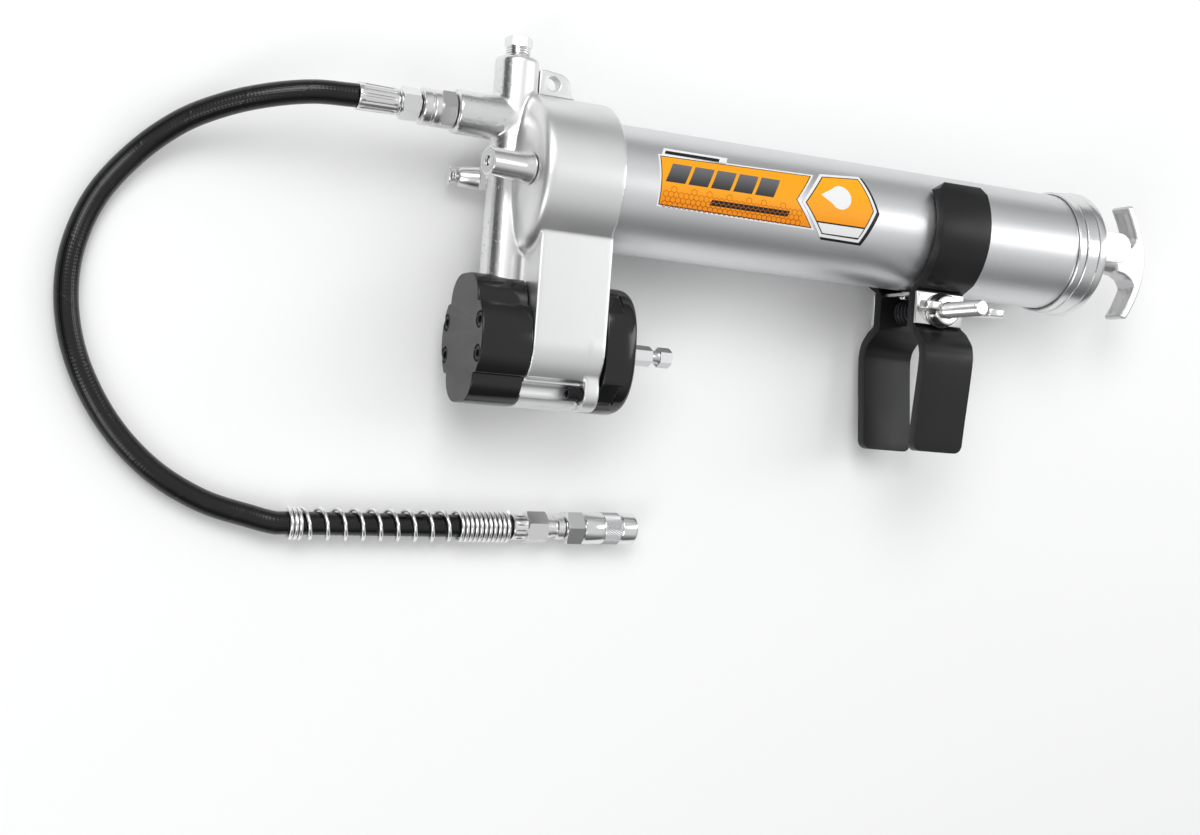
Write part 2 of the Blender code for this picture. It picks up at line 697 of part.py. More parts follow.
def rear_cover() -> None:
    """The black rear cover with its bearing seat and corner pockets, and the bolts through it."""
    cover = loft([(REAR_X0, oval_outline(0.3)), (REAR_X0 + 0.5, oval_outline()),
                  (REAR_X1 - 2.6, oval_outline()), (REAR_X1 - 0.7, oval_outline(0.8)),
                  (REAR_X1, oval_outline(2.4))])
    for sy in (-1.0, 1.0):
        for sz in (-1.0, 1.0):
            block = box(REAR_X0 - 1.0, REAR_X0 + 8.2, 0.0, 12.0, -7.5, 7.5)
            turn = Matrix.Translation((0.0, GEAR_Y + sy * 18.1, sz * 19.7))
            turn = turn @ Matrix.Rotation(math.atan2(sz * 19.7, sy * 18.1), 4, "X")
            cut(cover, turned(block, turn))
    cut(cover, lathe("X", [(REAR_X0 - 1.0, 0.0), (REAR_X0 - 1.0, 14.0), (45.0, 14.0), (45.0, 12.3),
                           (53.3, 12.3), (53.3, 6.6), (REAR_X1 + 1.0, 6.6), (REAR_X1 + 1.0, 0.0)],
                     (GEAR_Y, 0.0), 26))
    for sz in (-1.0, 1.0):
        high = (GEAR_Y + SCREW_UP, sz * SCREW_OUT)
        cut(cover, cylinder("X", REAR_X0 - 1.0, REAR_X1 + 1.0, high, 1.85, 10))
        cut(cover, cylinder("X", REAR_X1 - 3.6, REAR_X1 + 1.0, high, 3.05, 14))
    finish(cover, "rear_cover", "black_paint")


def bearings() -> None:
    """The two ball bearings, as closed rings."""
    finish(tube("X", 8.2, 15.6, (GEAR_Y, 0.0), 8.8, 15.0, 28), "crank_bearing", "steel")
    finish(tube("X", 45.3, 53.0, (GEAR_Y, 0.0), 6.4, 12.0, 26), "shaft_bearing", "steel")


def gear_train() -> None:
    """Ring gear, carrier with its crank pin, planets on their pins, and the drive shaft's sun gear."""
    centre = (GEAR_Y, 0.0)
    x0, x1 = 22.8, 30.2
    ring = cylinder("X", x0, x1, centre, GEAR_BORE_R - GAP, 36)
    pitch = MODULE * RING_TEETH / 2.0
    space = gear_points(RING_TEETH, pitch - 0.8 * MODULE, pitch + 1.1 * MODULE, -0.12,
                        math.pi / RING_TEETH)
    cut(ring, prism("X", shifted(space, centre), x0 - 1.0, x1 + 1.0))
    finish(ring, "ring_gear", "steel")

    crank = lathe("X", [(5.0, 0.0), (5.0, 8.5), (16.6, 8.5), (16.6, 16.5), (20.6, 16.5), (20.6, 0.0)],
                  centre, 28)
    join(crank, cylinder("X", 3.4, 6.0, (GEAR_Y, CRANK_THROW), 3.0, 14))
    orbit = MODULE * (SUN_TEETH + PLANET_TEETH) / 2.0
    spots = []
    for k in range(3):
        t = math.radians(90.0 + 120.0 * k)
        spots.append((GEAR_Y + orbit * math.cos(t), orbit * math.sin(t), t))
    for y, z, _ in spots:
        join(crank, cylinder("X", 19.0, 31.0, (y, z), 2.0, 12))
    finish(crank, "crank_carrier", "steel", (12.0, GEAR_Y, 0.0))
    r = MODULE * PLANET_TEETH / 2.0
    for number, (y, z, t) in enumerate(spots, 1):
        teeth = gear_points(PLANET_TEETH, r - 1.1 * MODULE, r + 0.8 * MODULE, 0.12,
                            t + math.pi / PLANET_TEETH)
        planet = prism("X", shifted(teeth, (y, z)), x0 + 0.2, x1 - 0.2)
        cut(planet, cylinder("X", x0 - 1.0, x1 + 1.0, (y, z), 2.3, 12))
        finish(planet, "planet_gear_%d" % number, "steel", (26.5, y, z))

    r = MODULE * SUN_TEETH / 2.0
    teeth = gear_points(SUN_TEETH, r - 1.1 * MODULE, r + 0.8 * MODULE, 0.12, 0.0)
    sun = prism("X", shifted(teeth, centre), x0 + 0.2, x1 - 0.2)
    cut(sun, cylinder("X", x0 - 1.0, x1 + 1.0, centre, 3.3, 12))
    finish(sun, "sun_gear", "steel", (26.5, GEAR_Y, 0.0))
    shaft = lathe("X", [(21.4, 0.0), (21.4, 3.0), (31.0, 3.0), (31.0, 8.0), (44.9, 8.0), (44.9, 6.0),
                        (60.0, 6.0), (60.0, 0.0)], centre, 20)
    shank = prism("X", hexagon(8.0, 0.0, centre), 59.0, 84.0)
    join(shaft, bevel(shank, 0.7, 1, 70.0))
    finish(shaft, "drive_shaft", "steel", (50.0, GEAR_Y, 0.0))


def housing_bolts() -> None:
    """Two bolts in the housing's lower corners and two through the rear cover's top."""
    for number, sz in enumerate((1.0, -1.0), 1):
        low = (GEAR_Y - BOLT_DOWN, sz * BOLT_OUT)
        finish(socket_screw(27.6, 6.0, 3.1, HOUSING_X1 - 0.2, 1.6, low, 1.6), "housing_bolt_%d" % number,
               "black_oxide", (30.0, *low))
    for number, sz in enumerate((1.0, -1.0), 1):
        high = (GEAR_Y + SCREW_UP, sz * SCREW_OUT)
        screw = socket_screw(-REAR_X1 + 0.3, 2.8, 2.6, -26.0, 1.5, high, 1.3)
        screw = turned(screw, Matrix.Scale(-1.0, 4, (1.0, 0.0, 0.0)))
        screw.data.flip_normals()
        finish(screw, "rear_screw_%d" % number, "black_oxide", (REAR_X1, *high))


# ---------------------------------------------------------------- outlet, hose and coupler
def hose_fittings() -> None:
    """The adapter in the outlet boss, the hose nut and the crimped ferrule."""
    c = (OUTLET_Y, 0.0)
    adapter = lathe("X", [(OUTLET_X + 12.0, 2.5), (OUTLET_X + 12.0, 5.3), (OUTLET_X - GAP, 5.3),
                          (OUTLET_X - GAP, 7.2), (-34.8, 7.2), (-34.8, 7.9), (-38.0, 7.9), (-38.2, 7.5),
                          (-38.9, 7.5), (-39.1, 7.9), (-42.5, 7.9), (-43.0, 7.4), (-43.0, 2.5)], c, 24)
    flats = prism("X", hexagon(14.6, math.pi / 6.0, c), -35.0, OUTLET_X - GAP)
    cut(flats, cylinder("X", -36.0, OUTLET_X + 1.0, c, 4.0, 12, phase=0.05))
    join(adapter, flats)
    finish(adapter, "outlet_adapter", "zinc")
    nut = prism("X", hexagon(12.2, 0.1, c), -52.0, -43.9)
    join(nut, cylinder("X", -52.8, -43.3, c, 5.4, 18))
    cut(nut, cylinder("X", -54.0, -42.0, c, 3.1, 12))
    finish(nut, "hose_nut", "zinc")
    finish(fluted(HOSE_ROUTE[0][0] + 0.1 * HOSE_R - 0.2, -53.1, c, HOSE_R + 0.9, HOSE_R + 0.5, 12), "hose_ferrule", "zinc")


def fluted(a0: float, a1: float, centre: tuple, r0: float, r1: float, flutes: int) -> bpy.types.Object:
    """A crimped ferrule: a tapered sleeve with flutes pressed along it."""
    bm = bmesh.new()
    rows = []
    sides = flutes * 2
    for a, r, deep in ((a0, r0 - 0.3, 0.0), (a0 + 0.6, r0, 0.0), (a0 + 2.0, r0, 0.35),
                       (a1 - 2.0, r1, 0.35), (a1 - 0.6, r1, 0.0), (a1, r1 - 0.3, 0.0)):
        row = []
        for k in range(sides):
            t = 2.0 * math.pi * k / sides
            rr = r - (deep if k % 2 else 0.0)
            row.append(bm.verts.new((a, centre[0] + rr * math.cos(t), centre[1] + rr * math.sin(t))))
        rows.append(row)
    for one, two in zip(rows[:-1], rows[1:]):
        for k in range(sides):
            j = (k + 1) % sides
            bm.faces.new((one[k], one[j], two[j], two[k]))
    bm.faces.new(rows[0])
    bm.faces.new(rows[-1][::-1])
    return solid(bm)


def tail() -> Matrix:
    """The frame of the hose's straight tail: X along it, at the guard's first turn."""
    return Matrix.Translation(TAIL_START) @ Matrix.Rotation(TAIL_ANGLE, 4, "Z")


def hose_line() -> list:
    """The hose's centre line from the ferrule to the tail fitting."""
    frame = tail()
    route = list(HOSE_ROUTE)
    for s in (-12.0, -6.0, 20.0, 45.0, 70.0, 95.8):
        route.append(tuple(frame @ Vector((s, 0.0, 0.0))))
    return smooth_path(route, 12.0)


def hose() -> None:
    """The rubber hose, its guard spring and the coupler at its end."""
    data = bpy.data.curves.new("hose", "CURVE")
    data.dimensions = "3D"
    data.bevel_depth = HOSE_R * 0.001
    data.bevel_resolution = 2
    data.use_fill_caps = True
    line = hose_line()
    spline = data.splines.new("POLY")
    spline.points.add(len(line) - 1)
    for point, p in zip(spline.points, line):
        point.co = (p.x * 0.001, p.y * 0.001, p.z * 0.001, 1.0)
    obj = bpy.data.objects.new("hose", data)
    bpy.context.scene.collection.objects.link(obj)
    obj.parent = ROOT["root"]
    obj.location = (0.0, 0.0, REST * 0.001)
    data.materials.append(material("hose:rubber"))

    frame = tail()
    finish(turned(guard_coil(), frame), "guard_spring", "steel", tuple(frame @ Vector((0.0, 0.0, 0.0))))
    c = (0.0, 0.0)
    fitting = fluted(96.1, 103.0, c, HOSE_R + 0.9, HOSE_R + 0.9, 10)
    join(fitting, prism("X", hexagon(13.0, 0.25, c), 102.6, 112.6))
    join(fitting, cylinder("X", 110.0, 118.0, c, 4.4, 16))
    join(fitting, cylinder("X", 117.5, 121.6, c, 5.6, 18, 0.6))
    finish(turned(fitting, frame), "tail_fitting", "zinc", tuple(frame @ Vector((100.0, 0.0, 0.0))))
    body = bevel(prism("X", hexagon(14.4, 0.5, c), 121.9, 130.3), 0.5, 1, 70.0)
    join(body, cylinder("X", 129.0, 136.0, c, 4.6, 20))
    finish(turned(body, frame), "coupler_body", "zinc", tuple(frame @ Vector((125.0, 0.0, 0.0))))
    sleeve = lathe("X", [(130.6, 5.0), (130.6, 6.9), (131.1, 7.35), (140.3, 7.35), (140.7, 7.0),
                         (141.1, 7.5), (147.5, 7.5), (147.9, 7.0), (148.3, 7.35), (156.4, 7.35),
                         (157.2, 6.6), (157.2, 4.6), (155.4, 4.6), (155.4, 5.6), (136.6, 5.6),
                         (136.6, 5.0)], c, 22)
    finish(turned(sleeve, frame), "coupler_sleeve", "steel", tuple(frame @ Vector((144.0, 0.0, 0.0))))
    grip = tube("X", 137.0, 155.0, c, 3.6, 5.2, 20)
    for k in range(2):
        slot = box(144.0, 156.0, -0.45, 0.45, -6.0, 6.0)
        cut(grip, turned(slot, Matrix.Rotation(math.pi / 2.0 * k, 4, "X")))
    finish(turned(grip, frame), "coupler_jaws", "steel", tuple(frame @ Vector((144.0, 0.0, 0.0))))


def guard_coil() -> bpy.types.Object:
    """The guard spring: a tight collar, open turns, and a tight block at the fitting."""
    wire = 0.85
    mean = HOSE_R + 1.55
    tight = 2.0 * wire + 0.3
    stations = [(0.0, -6.5)]
    turns, at = 0.0, -6.5
    for count, pitch in ((3, tight), (9, 7.9), (11, tight + 0.2)):
        turns += count
        at += count * pitch
        stations.append((turns, at))
    per = 8
    points = []
    for k in range(int(turns * per) + 1):
        s = k / per
        for (s0, a0), (s1, a1) in zip(stations[:-1], stations[1:]):
            if s <= s1 + 1e-9:
                a = a0 + (a1 - a0) * (s - s0) / (s1 - s0)
                break
        t = 2.0 * math.pi * s
        points.append((a, mean * math.cos(t), mean * math.sin(t)))
    return coil(points, wire, 4)


# ---------------------------------------------------------------- barrel, follower and handle
def barrel() -> None:
    """The barrel and its screwed end cap."""
    finish(tube("X", BARREL_X0, BARREL_X1, (0.0, 0.0), BARREL_R - BARREL_WALL, BARREL_R, 48),
           "barrel", "steel")
    bore = BARREL_R + GAP + 0.1
    cap = lathe("X", [(CAP_X0, bore), (CAP_X0, CAP_R - 1.0), (CAP_X0 + 3.5, CAP_R - 1.0),
                      (CAP_X0 + 3.9, CAP_R - 1.4), (CAP_X0 + 4.3, CAP_R - 0.6),
                      (CAP_X0 + 10.6, CAP_R - 0.3), (CAP_X0 + 11.1, CAP_R), (CAP_X1 - 1.8, CAP_R),
                      (CAP_X1, CAP_R - 2.6), (CAP_X1 + 0.4, CAP_R - 7.0),
                      (CAP_X1 + 0.4, 5.0), (CAP_X1 - 2.4, 5.0), (CAP_X1 - 2.4, bore)], seg=40)
    finish(cap, "end_cap", "steel")


def follower() -> None:
    """The follower with its plate, nut and spring, the rod and the T-handle."""
    inner = BARREL_R - BARREL_WALL - GAP
    cupped = lathe("X", [(19.0, 4.6), (19.0, inner - 1.5), (20.0, inner), (23.0, inner),
                         (24.0, inner - 1.6), (29.0, inner - 1.6), (30.5, inner), (33.5, inner),
                         (33.5, inner - 2.4), (26.0, inner - 4.5), (26.0, 4.6)], seg=28)
    finish(cupped, "follower", "rubber", (26.0, 0.0, 0.0))
    finish(tube("X", 26.3, 28.0, (0.0, 0.0), 4.6, 20.5, 28), "follower_plate", "zinc",
           (26.0, 0.0, 0.0))
    nut = prism("X", hexagon(13.0), 28.3, 34.0)
    cut(nut, cylinder("X", 27.0, 35.0, (0.0, 0.0), ROD_R + GAP + 0.05, 16))
    finish(nut, "follower_nut", "zinc", (26.0, 0.0, 0.0))
    finish(spring("X", 28.3, CAP_X1 - 2.4 - GAP, (0.0, 0.0), 18.4, 1.1, 9, 9, 4),
           "follower_spring", "steel", (CAP_X1 - 2.7, 0.0, 0.0))
    rod = cylinder("X", 18.4, HANDLE_X0 - GAP, (0.0, 0.0), ROD_R, 18, 0.6)
    finish(rod, "follower_rod", "steel", (26.0, 0.0, 0.0))
    finish(t_handle(), "t_handle", "cast_metal", (HANDLE_X1 - 12.0, 0.0, 0.0))


def t_handle() -> bpy.types.Object:
    """The cast T-handle: a hub that flares into two swept arms with finger channels."""
    tip = HANDLE_HALF
    half = [(18.0, 5.6), (13.0, 6.4), (9.0, 8.6), (6.4, 12.4), (8.2, 17.0), (10.6, 22.0),
            (13.8, tip - 1.4), (13.2, tip - 0.2), (10.6, tip), (9.4, tip - 1.0), (5.6, 21.0),
            (2.6, 14.0), (0.7, 7.0)]
    upper = [(HANDLE_X1 - x, y) for x, y in half]
    outline = upper + [(HANDLE_X1, 0.0)] + [(x, -y) for x, y in reversed(upper)]
    arms = prism("Z", outline, -6.2, 6.2)
    for sign in (-1.0, 1.0):
        hollow = [(15.0, -4.2), (7.6, -4.2), (6.4, 0.0), (7.6, 4.2), (15.0, 4.2)]
        channel = prism("Y", [(HANDLE_X1 - x, z) for x, z in hollow], sign * 13.0, sign * 26.6)
        shear = Matrix.Identity(4)
        shear[0][1] = sign * -0.46
        shear[0][3] = 0.46 * 16.0
        cut(arms, turned(channel, shear))
    bevel(arms, 0.8, 1, 40.0)
    hub = lathe("X", [(HANDLE_X0, 0.0), (HANDLE_X0, 5.6), (HANDLE_X0 + 0.6, 6.2), (HANDLE_X1 - 6.0, 6.2),
                      (HANDLE_X1 - 6.0, 0.0)], seg=18)
    return join(arms, hub)


def rod_latch() -> None:
    """The sprung plate that grips the rod, with its thumb tongue bent to the rear."""
    x0, x1 = CAP_X1 + 0.8, CAP_X1 + 2.4
    plate = prism("X", [(-11.0, -13.0), (11.0, -13.0), (13.2, -8.0), (13.2, 12.0), (-2.6, 12.0),
                        (-13.2, 4.0), (-13.2, -8.0)], x0, x1)
    cut(plate, cylinder("X", x0 - 1.0, x1 + 1.0, (0.0, 0.0), ROD_R + 0.7, 16))
    length = CAP_X1 + 30.0
    flat = [(x0, -2.0), (length - 7.6, -2.0)]
    flat += [(length - 7.6 + 7.6 * math.sin(math.radians(a)), 5.6 - 7.6 * math.cos(math.radians(a)))
             for a in range(15, 180, 15)]
    flat += [(length - 7.6, 13.0), (x0, 13.0)]
    tongue = prism("Z", flat, 10.6, 12.2)
    join(plate, tongue)
    finish(bevel(plate, 0.35, 1, 50.0), "rod_latch", "zinc", (x0 + 0.8, 0.0, -13.0))


# ---------------------------------------------------------------- the clamp
def jaw_outline(grow: float) -> list:
    """One face of a jaw as (y, z) points from the top end down, offset outwards by grow."""
    pts = []
    for a in (38, 25, 12, -1, -14, -27, -37, -48):
        t = math.radians(a)
        pts.append(((JAW_IN_R + grow) * math.sin(t), JAW_OFFSET + (JAW_IN_R + grow) * math.cos(t)))
    return pts


def jaw(sign: float, name: str) -> None:
    """A jaw: round the barrel above, flat behind its plate, and a paddle for the drill below."""
    plate = JAW_PLATE_Z - GAP
    outer = jaw_outline(JAW_T)
    inner = jaw_outline(0.0)
    flat = plate - JAW_T + 0.5
    y = BOLT_Y
    lower_out = [(y + 9.1, plate), (y - 7.2, plate), (y - 10.3, 21.4), (y - 15.2, 26.0), (y - 19.2, 27.4),
                 (y - 23.7, 27.8), (-72.0, 26.9), (-88.0, 25.0), (PADDLE_Y, 23.1)]
    lower_in = [(y + 7.7, flat), (y - 9.2, flat), (y - 13.3, 17.4), (y - 17.2, 21.2), (y - 20.2, 22.4),
                (y - 23.7, 22.8), (-72.0, 21.9), (-88.0, 20.0), (PADDLE_Y, 18.1)]
    face = outer + lower_out + list(reversed(lower_in)) + list(reversed(inner))
    body = prism("X", [(y, sign * z) for y, z in face], JAW_X0, JAW_X1)
    # clipped corners at the top, rounded ones at the paddle's end
    for x, s in ((JAW_X0, 1.0), (JAW_X1, -1.0)):
        deep = 4.6 if s > 0 else 3.0
        wedge = prism("Z", [(x - s, 16.4), (x - s, 26.0), (x + s * deep, 26.0), (x + s * deep, 21.6)],
                      -45.0, 45.0)
        cut(body, wedge)
        r = 4.0
        corner = [(x - s, -110.0), (x + s * r, -110.0), (x + s * r, PADDLE_Y)]
        for k in range(1, 4):
            t = math.radians(90.0 * k / 4.0)
            corner.append((x + s * (r - r * math.sin(t)), PADDLE_Y + r - r * math.cos(t)))
        corner += [(x, PADDLE_Y + r), (x - s, PADDLE_Y + r)]
        cut(body, prism("Z", corner, -45.0, 45.0))
    cut(body, cylinder("Z", -45.0, 45.0, (BOLT_X, BOLT_Y), BOLT_R + 0.5, 18))
    finish(bevel(body, 0.5, 1, 50.0), name, "black_paint", (BOLT_X, BOLT_Y, sign * plate))


def clamp() -> None:
    """Jaws, plates, bolt, wing nut, spring and the guide leg."""
    jaw(1.0, "jaw_near")
    jaw(-1.0, "jaw_far")
    z0 = JAW_PLATE_Z
    near = box(JAW_X0 - 0.4, JAW_X1 - 1.0, BOLT_Y - 6.9, BOLT_Y + 8.5, z0, z0 + PLATE_T)
    cut(near, cylinder("Z", z0 - 1.0, z0 + PLATE_T + 1.0, (BOLT_X, BOLT_Y), BOLT_R + GAP, 18))
    finish(bevel(near, 0.3, 1), "plate_near", "zinc", (BOLT_X, BOLT_Y, z0))
    far = box(JAW_X0 - 0.4, JAW_X1 - 1.0, BOLT_Y - 6.9, BOLT_Y + 8.5, -z0 - PLATE_T, -z0)
    cut(far, cylinder("Z", -z0 - PLATE_T - 1.0, -z0 + 1.0, (BOLT_X, BOLT_Y), BOLT_R + GAP, 18))
    finish(bevel(far, 0.3, 1), "plate_far", "zinc", (BOLT_X, BOLT_Y, -z0))
    top = -BARREL_R - 1.4
    leg = box(JAW_X0 + 1.5, JAW_X1 - 3.5, top - 1.5, top, -11.2, 9.6)
    cut(leg, cylinder("Y", top - 3.1, top + 1.9, (JAW_X0 + 5.4, 0.0), 1.65, 10))
    finish(leg, "guide_leg", "zinc", (BOLT_X, top - 0.7, -10.4))
    screw = lathe("Y", [(top - 3.1, 0.0), (top - 3.1, 1.8), (top - 2.6, 2.5), (top - 1.8, 2.5),
                        (top - 1.8, 1.3), (top + 0.7, 1.3), (top + 0.7, 0.0)], (JAW_X0 + 5.4, 0.0), 12)
    finish(screw, "guide_screw", "steel", (JAW_X0 + 5.4, top - 1.5, 0.0))
    bolt = lathe("Z", [(-z0 - PLATE_T - GAP - 3.4, 0.0), (-z0 - PLATE_T - GAP - 3.4, 4.0),
                       (-z0 - PLATE_T - GAP - 2.6, 6.6), (-z0 - PLATE_T - GAP, 7.4),
                       (-z0 - PLATE_T - GAP, BOLT_R - 0.1), (50.4, BOLT_R - 0.1),
                       (51.3, BOLT_R - 1.0), (51.3, 0.0)], (BOLT_X, BOLT_Y), 18)
    finish(bolt, "clamp_bolt", "zinc", (BOLT_X, BOLT_Y, 0.0))
    finish(spring("Z", -11.2, 11.2, (BOLT_X, BOLT_Y), 5.8, 0.75, 8, 9, 4), "jaw_spring",
           "black_oxide", (BOLT_X, BOLT_Y, -11.2))
    finish(wing_nut(z0 + PLATE_T + GAP), "wing_nut", "zinc", (BOLT_X, BOLT_Y, z0 + PLATE_T + GAP))


def wing_nut(z: float) -> bpy.types.Object:
    """The wing nut: a low round hub and two upswept wings."""
    hub = lathe("Z", [(z, 0.0), (z, 8.4), (z + 1.4, 8.4), (z + 1.9, 7.7), (z + 6.4, 7.2), (z + 7.0, 6.6),
                      (z + 7.0, 0.0)], (BOLT_X, BOLT_Y), 20)
    half = WING_SPAN / 2.0
    side = [(3.0, z + 1.0), (8.5, z + 2.2), (12.5, z + 7.4), (half - 5.0, z + 11.8), (half - 0.8, z + 14.8),
            (half, z + 17.0), (half - 0.6, z + 20.0), (half - 3.6, z + 21.6), (half - 9.0, z + 20.6),
            (11.6, z + 16.5), (8.8, z + 10.0), (6.5, z + 6.2), (3.0, z + 5.6)]
    for sign in (-1.0, 1.0):
        wing = prism("Y", [(BOLT_X + sign * x, w) for x, w in side], BOLT_Y - 2.1, BOLT_Y + 2.1)
        join(hub, bevel(wing, 0.8, 1, 40.0))
    cut(hub, cylinder("Z", z - 1.0, z + 9.0, (BOLT_X, BOLT_Y), BOLT_R + 0.25, 18))
    return hub


def centre_root() -> None:
    """Moves the whole gun so that its origin is under the middle of its solid pieces."""
    bpy.context.view_layer.update()
    cord = {"hose", "guard_spring", "tail_fitting", "coupler_body", "coupler_sleeve", "coupler_jaws",
            "hose_nut", "hose_ferrule"}
    low = Vector((1e9, 1e9, 1e9))
    high = -low
    for obj in bpy.data.objects:
        if obj.type != "MESH" or obj.name in cord:
            continue
        for vert in obj.data.vertices:
            p = obj.matrix_world @ vert.co
            low = Vector(map(min, low, p))
            high = Vector(map(max, high, p))
    ROOT["root"].location = (-(low.x + high.x) / 2.0, -(low.y + high.y) / 2.0, -low.z)
    bpy.context.view_layer.update()


def main() -> None:
    """Builds every piece."""
    clear_scene()
    root = bpy.data.objects.new("root", None)
    bpy.context.scene.collection.objects.link(root)
    ROOT["root"] = root
    head_casting()
    hang_lug()
    top_valve()
    plunger()
    front_valves()
    front_cover()
    rear_cover()
    bearings()
    gear_train()
    housing_bolts()
    hose_fittings()
    hose()
    barrel()
    follower()
    rod_latch()
    clamp()
    centre_root()


main()
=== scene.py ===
"""Looks of the drill-powered grease gun: its surfaces, small parts, hose, label, light and camera.

Sizes are in millimetres in the gun's own frame (X to the T-handle, Y to the top of the pump column, Z up
from the bench, origin on the barrel's axis). Maker.place() turns a finished shape into metres in the row
frame.
"""

from __future__ import annotations

import logging
import math
from dataclasses import dataclass
from enum import Enum

import bmesh
import bpy
from mathutils import Matrix, Vector

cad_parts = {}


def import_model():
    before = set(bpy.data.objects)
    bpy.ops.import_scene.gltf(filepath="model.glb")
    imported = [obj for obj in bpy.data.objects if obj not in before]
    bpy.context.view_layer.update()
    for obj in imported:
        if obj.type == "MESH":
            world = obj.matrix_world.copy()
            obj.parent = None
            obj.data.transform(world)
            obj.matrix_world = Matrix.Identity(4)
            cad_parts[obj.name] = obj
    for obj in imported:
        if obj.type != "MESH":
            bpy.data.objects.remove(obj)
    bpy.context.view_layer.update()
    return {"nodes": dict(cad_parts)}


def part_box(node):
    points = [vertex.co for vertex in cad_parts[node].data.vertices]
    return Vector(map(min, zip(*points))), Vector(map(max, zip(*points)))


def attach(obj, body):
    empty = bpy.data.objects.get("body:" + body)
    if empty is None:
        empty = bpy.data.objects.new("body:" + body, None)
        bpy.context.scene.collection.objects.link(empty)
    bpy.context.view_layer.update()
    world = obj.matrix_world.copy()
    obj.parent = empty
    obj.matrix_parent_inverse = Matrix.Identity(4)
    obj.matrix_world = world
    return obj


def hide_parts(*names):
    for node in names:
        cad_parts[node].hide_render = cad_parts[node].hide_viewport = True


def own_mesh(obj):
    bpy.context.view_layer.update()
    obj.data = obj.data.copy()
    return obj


LOG = logging.getLogger("grease_gun")

Point2 = tuple[float, float]
Point3 = tuple[float, float, float]
Colour = tuple[float, float, float]


class Axis(Enum):
    """The row's axes, each with the order (across, across, along)."""

    X = (1, 2, 0)
    Y = (0, 2, 1)
    Z = (0, 1, 2)


# ------------------------------------------------------------------------------------------------ mesh making
def spot(axis: Axis, along: float, u: float, v: float) -> Point3:
    """Puts a distance along an axis and two across it in X, Y, Z order."""
    point = [0.0, 0.0, 0.0]
    iu, iv, ia = axis.value
    point[ia], point[iu], point[iv] = along, u, v
    return (point[0], point[1], point[2])


def solid(bm: bmesh.types.BMesh) -> bpy.types.Object:
    """Makes an object of a bmesh, with its faces outwards."""
    bmesh.ops.remove_doubles(bm, verts=bm.verts, dist=1e-4)
    bmesh.ops.recalc_face_normals(bm, faces=bm.faces)
    mesh = bpy.data.meshes.new("shape")
    bm.to_mesh(mesh)
    bm.free()
    obj = bpy.data.objects.new("shape", mesh)
    bpy.context.scene.collection.objects.link(obj)
    return obj


def lathe(axis: Axis, profile: list[Point2], centre: Point2 = (0.0, 0.0), seg: int = 96,
          phase: float = 0.0) -> bpy.types.Object:
    """Revolves a profile.

    Args:
        axis: The axis it turns about.
        profile: (along, radius) points; one that starts and ends on the axis is solid, any other is a ring.
        centre: The axis's place across.
        seg: Sides of the round.
        phase: Angle of the first side's corner.
    Returns:
        The shape.
    """
    bm = bmesh.new()
    rows = []
    for a, r in profile:
        if r < 1e-9:
            rows.append([bm.verts.new(spot(axis, a, *centre))])
            continue
        angles = [phase + 2.0 * math.pi * k / seg for k in range(seg)]
        rows.append([bm.verts.new(spot(axis, a, centre[0] + r * math.cos(t), centre[1] + r * math.sin(t)))
                     for t in angles])
    pairs = list(zip(rows[:-1], rows[1:]))
    if len(rows[0]) > 1:
        pairs.append((rows[-1], rows[0]))
    for one, two in pairs:
        for k in range(seg):
            j = (k + 1) % seg
            if len(one) == 1 and len(two) == 1:
                break
            if len(one) == 1:
                bm.faces.new((one[0], two[k], two[j]))
            elif len(two) == 1:
                bm.faces.new((one[k], one[j], two[0]))
            else:
                bm.faces.new((one[k], one[j], two[j], two[k]))
    return solid(bm)


def rod(axis: Axis, a0: float, a1: float, centre: Point2, r: float, seg: int = 48, chamfer: float = 0.0,
        phase: float = 0.0) -> bpy.types.Object:
    """Makes a round bar, with chamfered ends if asked."""
    c = chamfer
    profile = [(a0, 0.0), (a0, r - c), (a0 + c, r), (a1 - c, r), (a1, r - c), (a1, 0.0)]
    if c <= 0.0:
        profile = [(a0, 0.0), (a0, r), (a1, r), (a1, 0.0)]
    return lathe(axis, profile, centre, seg, phase)


def prism(axis: Axis, outline: list[Point2], a0: float, a1: float) -> bpy.types.Object:
    """Extrudes an outline, given across the axis, from a0 to a1."""
    bm = bmesh.new()
    low = [bm.verts.new(spot(axis, a0, u, v)) for u, v in outline]
    high = [bm.verts.new(spot(axis, a1, u, v)) for u, v in outline]
    bm.faces.new(low)
    bm.faces.new(high[::-1])
    for k in range(len(outline)):
        j = (k + 1) % len(outline)
        bm.faces.new((low[k], high[k], high[j], low[j]))
    return solid(bm)


def box(low: Point3, high: Point3) -> bpy.types.Object:
    """Makes a block between two corners."""
    outline = [(low[1], low[2]), (high[1], low[2]), (high[1], high[2]), (low[1], high[2])]
    return prism(Axis.X, outline, low[0], high[0])


def loft(sections: list[tuple[float, list[Point2]]]) -> bpy.types.Object:
    """Skins outlines of equal length along X."""
    bm = bmesh.new()
    rows = [[bm.verts.new((x, u, v)) for u, v in outline] for x, outline in sections]
    for one, two in zip(rows[:-1], rows[1:]):
        for k in range(len(one)):
            j = (k + 1) % len(one)
            bm.faces.new((one[k], one[j], two[j], two[k]))
    bm.faces.new(rows[0])
    bm.faces.new(rows[-1][::-1])
    return solid(bm)


def arc(radius: float, start: float, end: float, count: int, centre: Point2 = (0.0, 0.0)) -> list[Point2]:
    """Gives points along a circle, angles in degrees, both ends included."""
    angles = [math.radians(start + (end - start) * k / count) for k in range(count + 1)]
    return [(centre[0] + radius * math.cos(t), centre[1] + radius * math.sin(t)) for t in angles]


